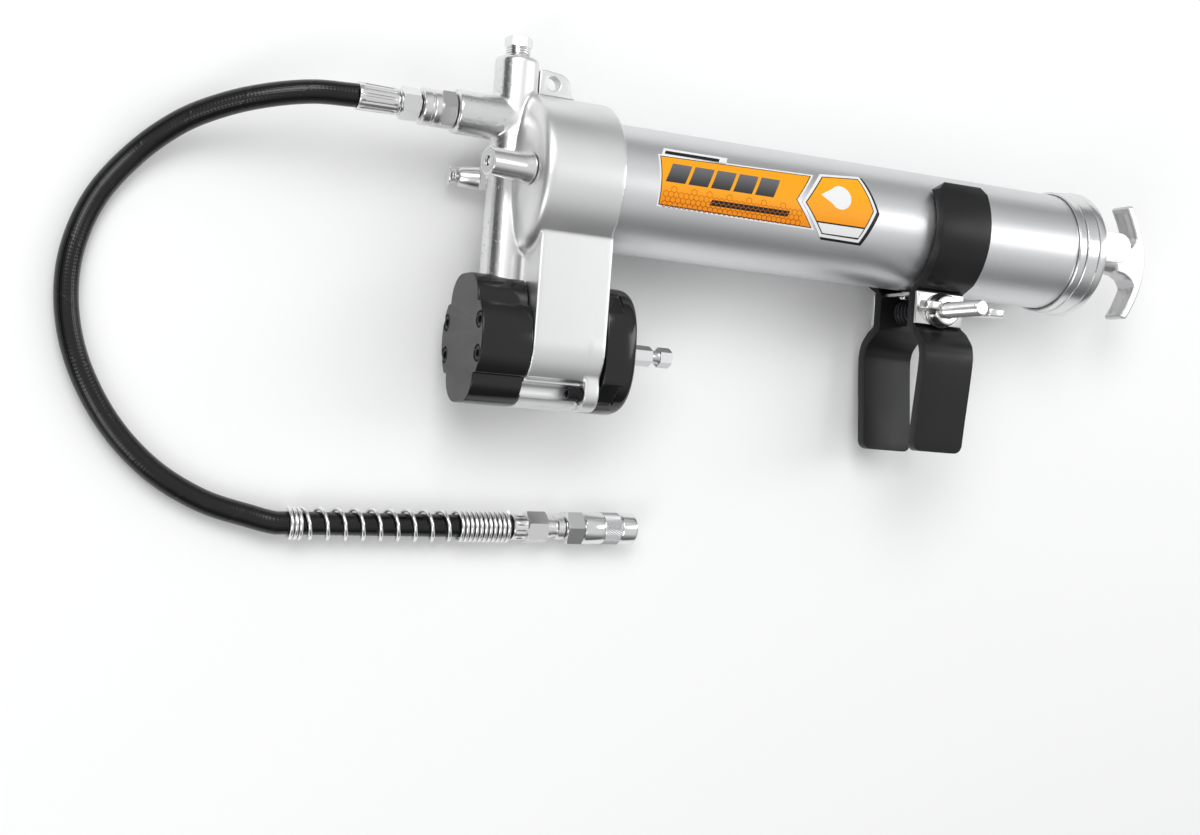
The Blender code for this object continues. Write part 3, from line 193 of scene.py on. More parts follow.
def hexagon(across: float, turn: float = 0.0, centre: Point2 = (0.0, 0.0)) -> list[Point2]:
    """Gives a hexagon's outline from its size across the flats."""
    r = across / math.sqrt(3.0)
    angles = [turn + math.pi / 3.0 * k for k in range(6)]
    return [(centre[0] + r * math.cos(t), centre[1] + r * math.sin(t)) for t in angles]


def applied(obj: bpy.types.Object) -> bpy.types.Object:
    """Turns an object's modifiers into its mesh."""
    graph = bpy.context.evaluated_depsgraph_get()
    graph.update()
    mesh = bpy.data.meshes.new_from_object(obj.evaluated_get(graph))
    obj.modifiers.clear()
    obj.data = mesh
    return obj


def combine(target: bpy.types.Object, tool: bpy.types.Object, operation: str) -> bpy.types.Object:
    """Applies one exact Boolean and drops the tool."""
    mod = target.modifiers.new("op", "BOOLEAN")
    mod.object = tool
    mod.operation = operation
    mod.solver = "EXACT"
    applied(target)
    bpy.data.objects.remove(tool, do_unlink=True)
    return target


def cut(target: bpy.types.Object, *tools: bpy.types.Object) -> bpy.types.Object:
    """Takes each tool out of the target."""
    for tool in tools:
        combine(target, tool, "DIFFERENCE")
    return target


def join(target: bpy.types.Object, *tools: bpy.types.Object) -> bpy.types.Object:
    """Adds each tool to the target."""
    for tool in tools:
        combine(target, tool, "UNION")
    return target


def bevel(obj: bpy.types.Object, width: float, segments: int = 3, angle: float = 40.0) -> bpy.types.Object:
    """Rounds the sharp edges of a shape."""
    mod = obj.modifiers.new("bevel", "BEVEL")
    mod.width = width
    mod.segments = segments
    mod.limit_method = "ANGLE"
    mod.angle_limit = math.radians(angle)
    mod.miter_outer = "MITER_ARC"
    return applied(obj)


def turned(obj: bpy.types.Object, matrix: Matrix) -> bpy.types.Object:
    """Moves a shape's own points by a matrix."""
    obj.data.transform(matrix)
    return obj


def melted(obj: bpy.types.Object, voxel: float, rounds: int, keep: float) -> bpy.types.Object:
    """Blends a shape's inner corners as a casting has them.

    Args:
        obj: The shape.
        voxel: Size of the remesh.
        rounds: How often it is smoothed.
        keep: Share of the triangles kept.
    Returns:
        The shape.
    """
    mod = obj.modifiers.new("voxels", "REMESH")
    mod.mode = "VOXEL"
    mod.voxel_size = voxel
    mod.use_smooth_shade = True
    smooth = obj.modifiers.new("smooth", "SMOOTH")
    smooth.factor = 0.5
    smooth.iterations = rounds
    fewer = obj.modifiers.new("fewer", "DECIMATE")
    fewer.ratio = keep
    return applied(obj)


def merge(first: bpy.types.Object, *others: bpy.types.Object) -> bpy.types.Object:
    """Puts closed shapes into one object as they are."""
    bm = bmesh.new()
    bm.from_mesh(first.data)
    for other in others:
        bm.from_mesh(other.data)
        bpy.data.objects.remove(other, do_unlink=True)
    bm.to_mesh(first.data)
    bm.free()
    return first


def hex_nut(axis: Axis, a0: float, a1: float, across: float, centre: Point2, turn: float = 0.0
            ) -> bpy.types.Object:
    """Makes a hexagon with the turned chamfers that a nut has on its corners."""
    bm = bmesh.new()
    inner, steps = across * 0.485, 72
    rows: list[list[bmesh.types.BMVert]] = [[], [], [], []]
    for k in range(steps):
        t = turn + 2.0 * math.pi * k / steps
        r = across / 2.0 / math.cos((2.0 * math.pi * k / steps) % (math.pi / 3.0) - math.pi / 6.0)
        drop = (r - inner) * 0.55
        for row, (a, rr) in zip(rows, ((a0, inner), (a0 + drop, r), (a1 - drop, r), (a1, inner))):
            u, v = centre[0] + rr * math.cos(t), centre[1] + rr * math.sin(t)
            row.append(bm.verts.new(spot(axis, a, u, v)))
    for one, two in zip(rows[:-1], rows[1:]):
        for k in range(steps):
            j = (k + 1) % steps
            bm.faces.new((one[k], one[j], two[j], two[k]))
    bm.faces.new(rows[0])
    bm.faces.new(rows[-1][::-1])
    return solid(bm)


def sweep(points: list[Vector], radius: float, sides: int, uv: bool = False) -> bpy.types.Object:
    """Sweeps a round section along a chain of points.

    Args:
        points: The centre line.
        radius: The section's radius.
        sides: Sides of the section.
        uv: True to store the length along (mm) and the turn round (0 to 1) as a UV map.
    Returns:
        The closed tube.
    """
    bm = bmesh.new()
    rings = []
    stations = [0.0]
    side = None
    for k, p in enumerate(points):
        ahead = (points[min(k + 1, len(points) - 1)] - points[max(k - 1, 0)]).normalized()
        side = ahead.orthogonal() if side is None else side - ahead * side.dot(ahead)
        side.normalize()
        up = ahead.cross(side)
        rings.append([bm.verts.new(p + radius * (math.cos(t) * side + math.sin(t) * up))
                      for t in (2.0 * math.pi * s / sides for s in range(sides))])
        if k:
            stations.append(stations[-1] + (p - points[k - 1]).length)
    layer = bm.loops.layers.uv.new("along") if uv else None
    for i, (one, two) in enumerate(zip(rings[:-1], rings[1:])):
        for k in range(sides):
            j = (k + 1) % sides
            face = bm.faces.new((one[k], one[j], two[j], two[k]))
            if layer is not None:
                corners = ((i, k), (i, k + 1), (i + 1, k + 1), (i + 1, k))
                for loop, (a, b) in zip(face.loops, corners):
                    loop[layer].uv = (stations[a], b / sides)
    bm.faces.new(rings[0])
    bm.faces.new(rings[-1][::-1])
    return solid(bm)


def smooth_path(route: list[Vector], step: float) -> list[Vector]:
    """Reads points every step along a smooth curve through the route's points."""
    pts = [2 * route[0] - route[1]] + route + [2 * route[-1] - route[-2]]
    fine = []
    for k in range(1, len(pts) - 2):
        a, b, c, d = pts[k - 1:k + 3]
        for i in range(12):
            t = i / 12.0
            fine.append(0.5 * (2 * b + (c - a) * t + (2 * a - 5 * b + 4 * c - d) * t * t
                               + (3 * b - a - 3 * c + d) * t ** 3))
    fine.append(pts[-2])
    length = [0.0]
    for p, q in zip(fine[:-1], fine[1:]):
        length.append(length[-1] + (q - p).length)
    count = max(2, round(length[-1] / step))
    out = []
    for k in range(count + 1):
        want = length[-1] * k / count
        i = 0
        while i < len(length) - 2 and length[i + 1] < want:
            i += 1
        part = (want - length[i]) / (length[i + 1] - length[i])
        out.append(fine[i].lerp(fine[i + 1], min(max(part, 0.0), 1.0)))
    return out


# ------------------------------------------------------------------------------------------------ node trees
class Graph:
    """Adds nodes to a tree and wires them."""

    def __init__(self, tree: bpy.types.NodeTree) -> None:
        """Keeps the tree."""
        self.tree = tree

    def wire(self, one: bpy.types.NodeSocket, two: bpy.types.NodeSocket) -> None:
        """Links an output to an input."""
        self.tree.links.new(one, two)

    def add(self, kind: str, inputs: dict | None = None, **settings) -> bpy.types.Node:
        """Adds a node.

        Args:
            kind: The node's type.
            inputs: Values or sockets by input name or index.
            settings: The node's own properties.
        Returns:
            The node.
        """
        node = self.tree.nodes.new(kind)
        for key, value in settings.items():
            setattr(node, key, value)
        for key, value in (inputs or {}).items():
            if isinstance(value, bpy.types.NodeSocket):
                self.wire(value, node.inputs[key])
            else:
                node.inputs[key].default_value = value
        return node

    def math(self, operation: str, a, b=0.0) -> bpy.types.NodeSocket:
        """Adds a Math node and gives its result."""
        return self.add("ShaderNodeMath", {0: a, 1: b}, operation=operation).outputs[0]

    def times(self, a, b) -> bpy.types.NodeSocket:
        """Multiplies two numbers."""
        return self.math("MULTIPLY", a, b)

    def plus(self, a, b) -> bpy.types.NodeSocket:
        """Adds two numbers."""
        return self.math("ADD", a, b)

    def minus(self, a, b) -> bpy.types.NodeSocket:
        """Takes the second number from the first."""
        return self.math("SUBTRACT", a, b)

    def ramp(self, value, low: float, high: float) -> bpy.types.NodeSocket:
        """Gives 0 below low, 1 above high and a smooth step between."""
        node = self.add("ShaderNodeMapRange", {"Value": value, "From Min": low, "From Max": high})
        node.interpolation_type = "SMOOTHSTEP"
        return node.outputs["Result"]

    def mix(self, factor, one, two) -> bpy.types.NodeSocket:
        """Mixes two colours."""
        node = self.add("ShaderNodeMix", data_type="RGBA")
        for index, value in ((0, factor), (6, one), (7, two)):
            if isinstance(value, bpy.types.NodeSocket):
                self.wire(value, node.inputs[index])
            else:
                node.inputs[index].default_value = value if index == 0 else (*value, 1.0)
        return node.outputs[2]

    def parts(self, vector: bpy.types.NodeSocket) -> bpy.types.NodeOutputs:
        """Splits a vector into X, Y and Z."""
        return self.add("ShaderNodeSeparateXYZ", {0: vector}).outputs

    def noise(self, where, scale, detail: float, rough: float = 0.5, bend: float = 0.0
              ) -> bpy.types.NodeSocket:
        """Gives noise, 0 to 1."""
        return self.add("ShaderNodeTexNoise", {"Vector": where, "Scale": scale, "Detail": detail,
                                               "Roughness": rough, "Distortion": bend}).outputs["Fac"]

    def effect(self, tree: bpy.types.NodeTree, **inputs) -> bpy.types.NodeOutputs:
        """Places a shared effect with its own values."""
        return self.add("ShaderNodeGroup", inputs, node_tree=tree).outputs


class Effects:
    """Shader node groups that several finishes share."""

    def __init__(self) -> None:
        """Builds the groups."""
        self.cast_skin = self._cast_skin()
        self.drawn_grain = self._drawn_grain()
        self.handling = self._handling()

    @staticmethod
    def _group(name: str, inputs: dict[str, float], outputs: tuple[str, ...]
               ) -> tuple[Graph, bpy.types.NodeOutputs, bpy.types.NodeInputs]:
        """Starts a group that takes a Vector and some numbers, and puts out numbers."""
        tree = bpy.data.node_groups.new(name, "ShaderNodeTree")
        face = tree.interface
        face.new_socket("Vector", in_out="INPUT", socket_type="NodeSocketVector")
        for label, value in inputs.items():
            face.new_socket(label, in_out="INPUT", socket_type="NodeSocketFloat").default_value = value
        for label in outputs:
            face.new_socket(label, in_out="OUTPUT", socket_type="NodeSocketFloat")
        graph = Graph(tree)
        return graph, graph.add("NodeGroupInput").outputs, graph.add("NodeGroupOutput").inputs

    def _cast_skin(self) -> bpy.types.NodeTree:
        """The skin of a plated casting: fine orange peel and a few pits. Puts out Height and Pits."""
        g, given, out = self._group("cast_skin", {"Size": 900.0, "Pitting": 0.5}, ("Height", "Pits"))
        peel = g.noise(given["Vector"], given["Size"], 3.0, 0.6)
        coarse = g.noise(given["Vector"], g.times(given["Size"], 0.23), 2.0)
        edge = g.minus(0.72, g.times(given["Pitting"], 0.16))
        pits = g.ramp(peel, edge, g.plus(edge, 0.06))
        height = g.plus(g.times(peel, 0.6), g.times(coarse, 0.8))
        g.wire(g.minus(height, pits), out["Height"])
        g.wire(pits, out["Pits"])
        return g.tree

    def _drawn_grain(self) -> bpy.types.NodeTree:
        """Fine lines left by drawing or brushing. Puts out Lines, 0 to 1."""
        g, given, out = self._group("drawn_grain", {"Fine": 900.0, "Stretch": 0.03}, ("Lines",))
        part = g.parts(given["Vector"])
        along = g.times(part["X"], given["Stretch"])
        vector = g.add("ShaderNodeCombineXYZ", {"X": along, "Y": part["Y"], "Z": part["Z"]}).outputs[0]
        g.wire(g.noise(vector, given["Fine"], 4.0, 0.7), out["Lines"])
        return g.tree

    def _handling(self) -> bpy.types.NodeTree:
        """Broad smears and small scuffs of a handled tool. Puts out Smear and Scuff, 0 to 1."""
        g, given, out = self._group("handling", {"Amount": 0.5}, ("Smear", "Scuff"))
        broad = g.noise(given["Vector"], 28.0, 3.0, bend=0.6)
        small = g.noise(given["Vector"], 260.0, 5.0, 0.75)
        edge = g.minus(0.78, g.times(given["Amount"], 0.12))
        g.wire(g.ramp(broad, 0.35, 0.7), out["Smear"])
        g.wire(g.ramp(small, edge, g.plus(edge, 0.08)), out["Scuff"])
        return g.tree


@dataclass(frozen=True)
class Finish:
    """What every finish has: a name and a way to make its material."""

    name: str

    def start(self) -> tuple[bpy.types.Material, Graph, bpy.types.Node, bpy.types.NodeSocket]:
        """Makes the material with its Principled shader and its Object coordinates."""
        mat = bpy.data.materials.new(self.name)
        mat.use_nodes = True
        graph = Graph(mat.node_tree)
        shader = mat.node_tree.nodes["Principled BSDF"]
        return mat, graph, shader, graph.add("ShaderNodeTexCoord").outputs["Object"]

    @staticmethod
    def facing(graph: Graph) -> bpy.types.NodeSocket:
        """Gives how far the surface faces along X, -1 to 1."""
        return graph.parts(graph.add("ShaderNodeNewGeometry").outputs["Normal"])["X"]

    @staticmethod
    def end(graph: Graph, shader: bpy.types.Node, colour, rough, height, depth: float, metal: float = 0.0,
            strength: float = 1.0) -> None:
        """Wires the colour, the roughness and a height, in metres times depth, to the shader."""
        graph.wire(colour, shader.inputs["Base Color"])
        graph.wire(rough, shader.inputs["Roughness"])
        shader.inputs["Metallic"].default_value = metal
        bump = graph.add("ShaderNodeBump", {"Height": height, "Distance": depth, "Strength": strength})
        graph.wire(bump.outputs["Normal"], shader.inputs["Normal"])

    def make(self, effects: Effects) -> bpy.types.Material:
        """Makes the material."""
        raise NotImplementedError


@dataclass(frozen=True)
class PlatedCasting(Finish):
    """Bright plated cast metal, rougher and pitted on the column, satin on the cup."""

    colour: Colour = (0.80, 0.80, 0.80)
    rough: float = 0.24
    pitting: float = 0.5
    column_x: float = 0.0
    seam: bool = False

    def make(self, effects: Effects) -> bpy.types.Material:
        """Makes the material."""
        mat, g, shader, where = self.start()
        skin = g.effect(effects.cast_skin, Vector=where, Size=850.0, Pitting=self.pitting)
        on_column = g.minus(1.0, g.ramp(g.parts(where)["X"], self.column_x, self.column_x + 0.004))
        smear = g.effect(effects.handling, Vector=where)["Smear"]
        pits = g.times(skin["Pits"], on_column)
        if self.seam:
            turn = g.plus(self.facing(g), g.times(g.noise(where, 420.0, 4.0), 0.34))
            band = g.minus(1.0, g.ramp(g.math("ABSOLUTE", g.minus(turn, 0.36)), 0.02, 0.1))
            seam = g.times(g.times(band, on_column), g.ramp(skin["Height"], 0.55, 0.75))
            pits = g.math("MAXIMUM", pits, seam)
        colour = g.mix(g.times(pits, 0.75), self.colour, (0.10, 0.10, 0.105))
        colour = g.mix(g.times(smear, 0.10), colour, (0.62, 0.62, 0.63))
        rough = g.plus(g.minus(self.rough + 0.16, g.times(on_column, 0.16)), g.times(smear, 0.07))
        rough = g.plus(rough, g.times(pits, 0.3))
        height = g.times(skin["Height"], g.plus(0.12, g.times(on_column, 1.2)))
        self.end(g, shader, colour, rough, height, 0.00006, 1.0)
        return mat


@dataclass(frozen=True)
class DrawnTube(Finish):
    """The plated barrel: lengthwise draw lines, and fine crossed scratches round the clamp."""

    colour: Colour = (0.72, 0.725, 0.735)
    rough: float = 0.33
    clamp_x: Point2 = (0.0, 0.0)

    def make(self, effects: Effects) -> bpy.types.Material:
        """Makes the material."""
        mat, g, shader, where = self.start()
        grain = g.effect(effects.drawn_grain, Vector=where, Fine=700.0, Stretch=0.02)["Lines"]
        crossed = []
        for angle in (0.9, -0.9):
            turn = g.add("ShaderNodeMapping", {"Vector": where, "Rotation": (0.0, 0.0, angle)}).outputs[0]
            lines = g.effect(effects.drawn_grain, Vector=turn, Fine=1500.0, Stretch=0.03)["Lines"]
            crossed.append(g.ramp(lines, 0.52, 0.70))
        x = g.parts(where)["X"]
        low, high = self.clamp_x
        near = g.times(g.ramp(x, low - 0.03, low), g.minus(1.0, g.ramp(x, high, high + 0.04)))
        patch = g.ramp(g.noise(where, 45.0, 2.0), 0.40, 0.60)
        marks = g.times(g.times(g.math("MAXIMUM", *crossed), near), patch)
        smear = g.effect(effects.handling, Vector=where)["Smear"]
        colour = g.mix(g.times(marks, 0.35), self.colour, (0.50, 0.51, 0.53))
        colour = g.mix(g.times(smear, 0.12), colour, (0.66, 0.67, 0.69))
        rough = g.plus(g.plus(self.rough, g.times(grain, 0.10)), g.times(marks, 0.16))
        self.end(g, shader, colour, rough, g.plus(g.times(grain, 0.5), g.times(marks, 0.8)), 0.00003, 1.0)
        return mat


@dataclass(frozen=True)
class TurnedSteel(Finish):
    """Machined or plated steel with faint turning lines and handling smears."""

    colour: Colour = (0.82, 0.82, 0.82)
    rough: float = 0.16
    lines: float = 0.06
    fine: float = 1800.0

    def make(self, effects: Effects) -> bpy.types.Material:
        """Makes the material."""
        mat, g, shader, where = self.start()
        grain = g.noise(where, self.fine, 3.0, 0.65)
        handled = g.effect(effects.handling, Vector=where)
        colour = g.mix(g.times(handled["Smear"], 0.14), self.colour, (0.60, 0.60, 0.61))
        colour = g.mix(g.times(handled["Scuff"], 0.35), colour, (0.35, 0.35, 0.36))
        rough = g.plus(g.plus(self.rough, g.times(grain, self.lines)), g.times(handled["Scuff"], 0.12))
        self.end(g, shader, colour, rough, grain, 0.0000012, 1.0, 0.5)
        return mat


@dataclass(frozen=True)
class Enamel(Finish):
    """Black enamel over metal: glossy round its sides; if asked, the face looking to the front is rougher and
    has painted light, a lighter grey colour than the sides.
    """

    colour: Colour = (0.012, 0.012, 0.013)
    rough: float = 0.22
    matte_lit_front: bool = False
    peel: float = 0.00003
    shine: float = 0.32

    def make(self, effects: Effects) -> bpy.types.Material:
        """Makes the material."""
        mat, g, shader, where = self.start()
        sand = g.noise(where, 1500.0, 4.0, 0.7)
        wave = g.noise(where, 130.0, 2.0)
        handled = g.effect(effects.handling, Vector=where)
        front_matte_and_light: bpy.types.NodeSocket | float = 0.0
        # front face (normal along -X): rougher enamel, and a lighter grey colour that is painted light
        if self.matte_lit_front:
            front_matte_and_light = g.ramp(g.times(self.facing(g), -1.0), 0.8, 0.95)
        colour = g.mix(front_matte_and_light, self.colour, (0.048, 0.048, 0.051))
        colour = g.mix(g.times(handled["Scuff"], 0.2), colour, (0.08, 0.08, 0.083))
        rough = g.plus(g.plus(self.rough, g.times(front_matte_and_light, 0.28)), g.times(handled["Smear"], 0.08))
        shader.inputs["Specular IOR Level"].default_value = self.shine
        self.end(g, shader, colour, rough, g.plus(g.times(sand, 0.5), wave), self.peel)
        return mat


@dataclass(frozen=True)
class Oxide(Finish):
    """Blackened steel of the screws and the jaw spring."""

    colour: Colour = (0.030, 0.030, 0.033)
    rough: float = 0.34

    def make(self, effects: Effects) -> bpy.types.Material:
        """Makes the material."""
        mat, g, shader, where = self.start()
        grit = g.noise(where, 900.0, 4.0)
        colour = g.mix(g.times(g.ramp(grit, 0.60, 0.72), 0.5), self.colour, (0.20, 0.20, 0.21))
        self.end(g, shader, colour, g.plus(self.rough, g.times(grit, 0.12)), grit, 0.00003, 0.85)
        return mat


@dataclass(frozen=True)
class WrappedRubber(Finish):
    """Glossy hose rubber with the imprint of its curing fabric, laid out along the hose's own UV map."""

    colour: Colour = (0.003, 0.003, 0.0032)
    rough: float = 0.15
    pitch: float = 1.5
    wrap: float = 24.0
    round_count: float = 22.0

    def make(self, effects: Effects) -> bpy.types.Material:
        """Makes the material."""
        mat, g, shader, where = self.start()
        full = 2.0 * math.pi
        part = g.parts(g.add("ShaderNodeUVMap", uv_map="along").outputs[0])
        along = g.times(part["X"], full / self.pitch / 2.0)
        turn = g.times(part["Y"], full * self.round_count)
        weave = g.times(g.math("SINE", g.plus(along, turn)), g.math("SINE", g.minus(along, turn)))
        spiral = g.plus(g.times(part["X"], full / self.wrap), g.times(part["Y"], full))
        ridge = g.ramp(g.math("SINE", spiral), 0.965, 0.999)
        film = g.ramp(g.noise(where, 160.0, 4.0), 0.5, 0.8)
        colour = g.mix(g.times(film, 0.12), self.colour, (0.02, 0.02, 0.02))
        rough = g.plus(g.plus(self.rough, g.times(g.plus(weave, 1.0), 0.05)), g.times(film, 0.1))
        shader.inputs["Specular IOR Level"].default_value = 0.42
        self.end(g, shader, colour, rough, g.plus(g.times(weave, 0.45), g.times(ridge, 0.8)), 0.00005)
        return mat


@dataclass(frozen=True)
class PrintedFilm(Finish):
    """Printed label film under gloss, with a faint speckle; its colour carries painted shade, darker on the
    lower Y side of the barrel and lighter on the upper side.
    """

    # low is the shaded end of the painted shade across the barrel, high the lit end
    low: Colour = (0.85, 0.27, 0.01)
    high: Colour = (0.95, 0.42, 0.03)
    shade_fade: Point2 = (0.0, 1.0)
    rough: float = 0.28

    def make(self, effects: Effects) -> bpy.types.Material:
        """Makes the material."""
        mat, g, shader, where = self.start()
        speck = g.ramp(g.noise(where, 2500.0, 2.0), 0.4, 0.7)
        # painted shade: the colour runs from low on the lower Y side of the barrel to high on the upper side
        colour = g.mix(g.ramp(g.parts(where)["Y"], *self.shade_fade), self.low, self.high)
        colour = g.mix(g.times(speck, 0.06), colour, (0.0, 0.0, 0.0))
        wear = g.noise(where, 90.0, 5.0)
        shader.inputs["Specular IOR Level"].default_value = 0.25
        self.end(g, shader, colour, g.plus(self.rough, g.times(wear, 0.12)), wear, 0.00002)
        return mat


@dataclass(frozen=True)
class Floor(Finish):
    """Plain pale studio floor."""

    colour: Colour = (0.93, 0.93, 0.93)

    def make(self, effects: Effects) -> bpy.types.Material:
        """Makes the material."""
        mat, g, shader, where = self.start()
        shade = g.mix(g.times(g.noise(where, 3.0, 2.0), 0.03), self.colour, (0.88, 0.88, 0.88))
        g.wire(shade, shader.inputs["Base Color"])
        shader.inputs["Roughness"].default_value = 0.6
        return mat


# ------------------------------------------------------------------------------------------------ recipes
class Recipe:
    """A geometry node tree with named inputs that is run once on a seed shape."""

    def __init__(self, name: str, sizes: dict[str, tuple[str, float | int | None]]) -> None:
        """Makes the tree's sockets.

        Args:
            name: Name of the tree.
            sizes: Socket type and default by input name.
        """
        self.tree = bpy.data.node_groups.new(name, "GeometryNodeTree")
        face = self.tree.interface
        face.new_socket("Geometry", in_out="OUTPUT", socket_type="NodeSocketGeometry")
        face.new_socket("Geometry", in_out="INPUT", socket_type="NodeSocketGeometry")
        for label, (kind, value) in sizes.items():
            socket = face.new_socket(label, in_out="INPUT", socket_type=kind)
            if value is not None:
                socket.default_value = value
        face.new_socket("Finish", in_out="INPUT", socket_type="NodeSocketMaterial")
        self.graph = Graph(self.tree)
        self.given = self.graph.add("NodeGroupInput")
        self.out = self.graph.add("NodeGroupOutput")

    def close(self, geometry: bpy.types.NodeSocket) -> None:
        """Ends the tree in real geometry with its material."""
        real = self.graph.add("GeometryNodeRealizeInstances", {"Geometry": geometry})
        dressed = self.graph.add("GeometryNodeSetMaterial", {
            "Geometry": real.outputs["Geometry"], "Material": self.given.outputs["Finish"]})
        self.graph.wire(dressed.outputs["Geometry"], self.out.inputs["Geometry"])

    def run(self, seed: bpy.types.Object, finish: bpy.types.Material, **sizes) -> bpy.types.Object:
        """Runs the tree on a seed shape and keeps the plain mesh."""
        mod = seed.modifiers.new(self.tree.name, "NODES")
        mod.node_group = self.tree
        values = {key.replace("_", " ").capitalize(): value for key, value in sizes.items()}
        values["Finish"] = finish
        for item in self.tree.interface.items_tree:
            if item.item_type == "SOCKET" and item.in_out == "INPUT" and item.name in values:
                mod[item.identifier] = values[item.name]
        return applied(seed)


def chain(points: list[Vector]) -> bpy.types.Object:
    """Makes a seed of edges along a line of points."""
    mesh = bpy.data.meshes.new("line")
    mesh.from_pydata([tuple(p) for p in points], [(k, k + 1) for k in range(len(points) - 1)], [])
    obj = bpy.data.objects.new("line", mesh)
    bpy.context.scene.collection.objects.link(obj)
    return obj


def wire_recipe() -> Recipe:
    """Draws a round wire along the seed's line."""
    recipe = Recipe("wire_along_a_line", {"Wire": ("NodeSocketFloat", 0.5), "Sides": ("NodeSocketInt", 8)})
    g, given = recipe.graph, recipe.given.outputs
    line = g.add("GeometryNodeMeshToCurve", {"Mesh": given["Geometry"]})
    round_ = g.add("GeometryNodeCurvePrimitiveCircle",
                   {"Resolution": given["Sides"], "Radius": given["Wire"]})
    tube = g.add("GeometryNodeCurveToMesh", {"Curve": line.outputs["Curve"],
                                             "Profile Curve": round_.outputs["Curve"], "Fill Caps": True})
    recipe.close(tube.outputs["Mesh"])
    return recipe


def screw_recipe() -> Recipe:
    """Puts one screw on each of the seed's points."""
    recipe = Recipe("screws_on_points", {"Screw": ("NodeSocketObject", None)})
    g, given = recipe.graph, recipe.given.outputs
    info = g.add("GeometryNodeObjectInfo", {"Object": given["Screw"]})
    turn = g.add("FunctionNodeRandomValue", {2: 0.0, 3: 1.0, "Seed": 7}, data_type="FLOAT")
    angle = g.add("ShaderNodeCombineXYZ", {"X": turn.outputs[1]})
    put = g.add("GeometryNodeInstanceOnPoints", {"Points": given["Geometry"],
                                                 "Instance": info.outputs["Geometry"],
                                                 "Rotation": angle.outputs[0]})
    recipe.close(put.outputs["Instances"])
    return recipe


def knurl_recipe() -> Recipe:
    """Covers a band round the X axis with rows of low pyramids."""
    recipe = Recipe("knurl_round_a_band", {
        "Start": ("NodeSocketFloat", 0.0), "Pitch": ("NodeSocketFloat", 1.0), "Rows": ("NodeSocketInt", 6),
        "Around": ("NodeSocketInt", 32), "Radius": ("NodeSocketFloat", 7.0),
        "Point": ("NodeSocketFloat", 0.5), "Rise": ("NodeSocketFloat", 0.3)})
    g, given = recipe.graph, recipe.given.outputs
    count = g.times(given["Rows"], given["Around"])
    points = g.add("GeometryNodePoints", {"Count": count})
    index = g.add("GeometryNodeInputIndex").outputs[0]
    row = g.math("FLOOR", g.math("DIVIDE", g.plus(index, 0.5), given["Around"]))
    column = g.minus(index, g.times(row, given["Around"]))
    half = g.times(g.math("MODULO", row, 2.0), 0.5)
    angle = g.times(g.math("DIVIDE", g.plus(column, half), given["Around"]), 2.0 * math.pi)
    x = g.plus(given["Start"], g.times(row, given["Pitch"]))
    y = g.times(given["Radius"], g.math("COSINE", angle))
    z = g.times(given["Radius"], g.math("SINE", angle))
    place = g.add("ShaderNodeCombineXYZ", {"X": x, "Y": y, "Z": z})
    moved = g.add("GeometryNodeSetPosition", {"Geometry": points.outputs[0], "Position": place.outputs[0]})
    cone = g.add("GeometryNodeMeshCone", {"Vertices": 4, "Radius Top": 0.05, "Radius Bottom": given["Point"],
                                          "Depth": given["Rise"]})
    out = g.add("ShaderNodeCombineXYZ", {"X": 0.0, "Y": g.math("COSINE", angle), "Z": g.math("SINE", angle)})
    turn = g.add("FunctionNodeAlignRotationToVector", {"Vector": out.outputs[0]}, axis="Z")
    put = g.add("GeometryNodeInstanceOnPoints", {"Points": moved.outputs["Geometry"],
                                                 "Instance": cone.outputs["Mesh"],
                                                 "Rotation": turn.outputs[0]})
    recipe.close(put.outputs["Instances"])
    return recipe


def comb_recipe() -> Recipe:
    """Wraps the seed's honeycomb lines, drawn flat as (x, turn in mm, 0), round the barrel as thin strips."""
    recipe = Recipe("comb_lines_round_the_barrel", {
        "Radius": ("NodeSocketFloat", 28.5), "Lift": ("NodeSocketFloat", 0.1),
        "Line": ("NodeSocketFloat", 0.2)})
    g, given = recipe.graph, recipe.given.outputs
    where = g.parts(g.add("GeometryNodeInputPosition").outputs[0])
    angle = g.math("DIVIDE", where["Y"], given["Radius"])
    r = g.plus(given["Radius"], given["Lift"])
    place = g.add("ShaderNodeCombineXYZ", {"X": where["X"],
                                           "Y": g.times(r, g.math("SINE", angle)),
                                           "Z": g.times(r, g.math("COSINE", angle))})
    wrapped = g.add("GeometryNodeSetPosition", {"Geometry": given["Geometry"], "Position": place.outputs[0]})
    line = g.add("GeometryNodeMeshToCurve", {"Mesh": wrapped.outputs["Geometry"]})
    round_ = g.add("GeometryNodeCurvePrimitiveCircle", {"Resolution": 4, "Radius": given["Line"]})
    tube = g.add("GeometryNodeCurveToMesh", {"Curve": line.outputs["Curve"],
                                             "Profile Curve": round_.outputs["Curve"], "Fill Caps": True})
    recipe.close(tube.outputs["Mesh"])
    return recipe


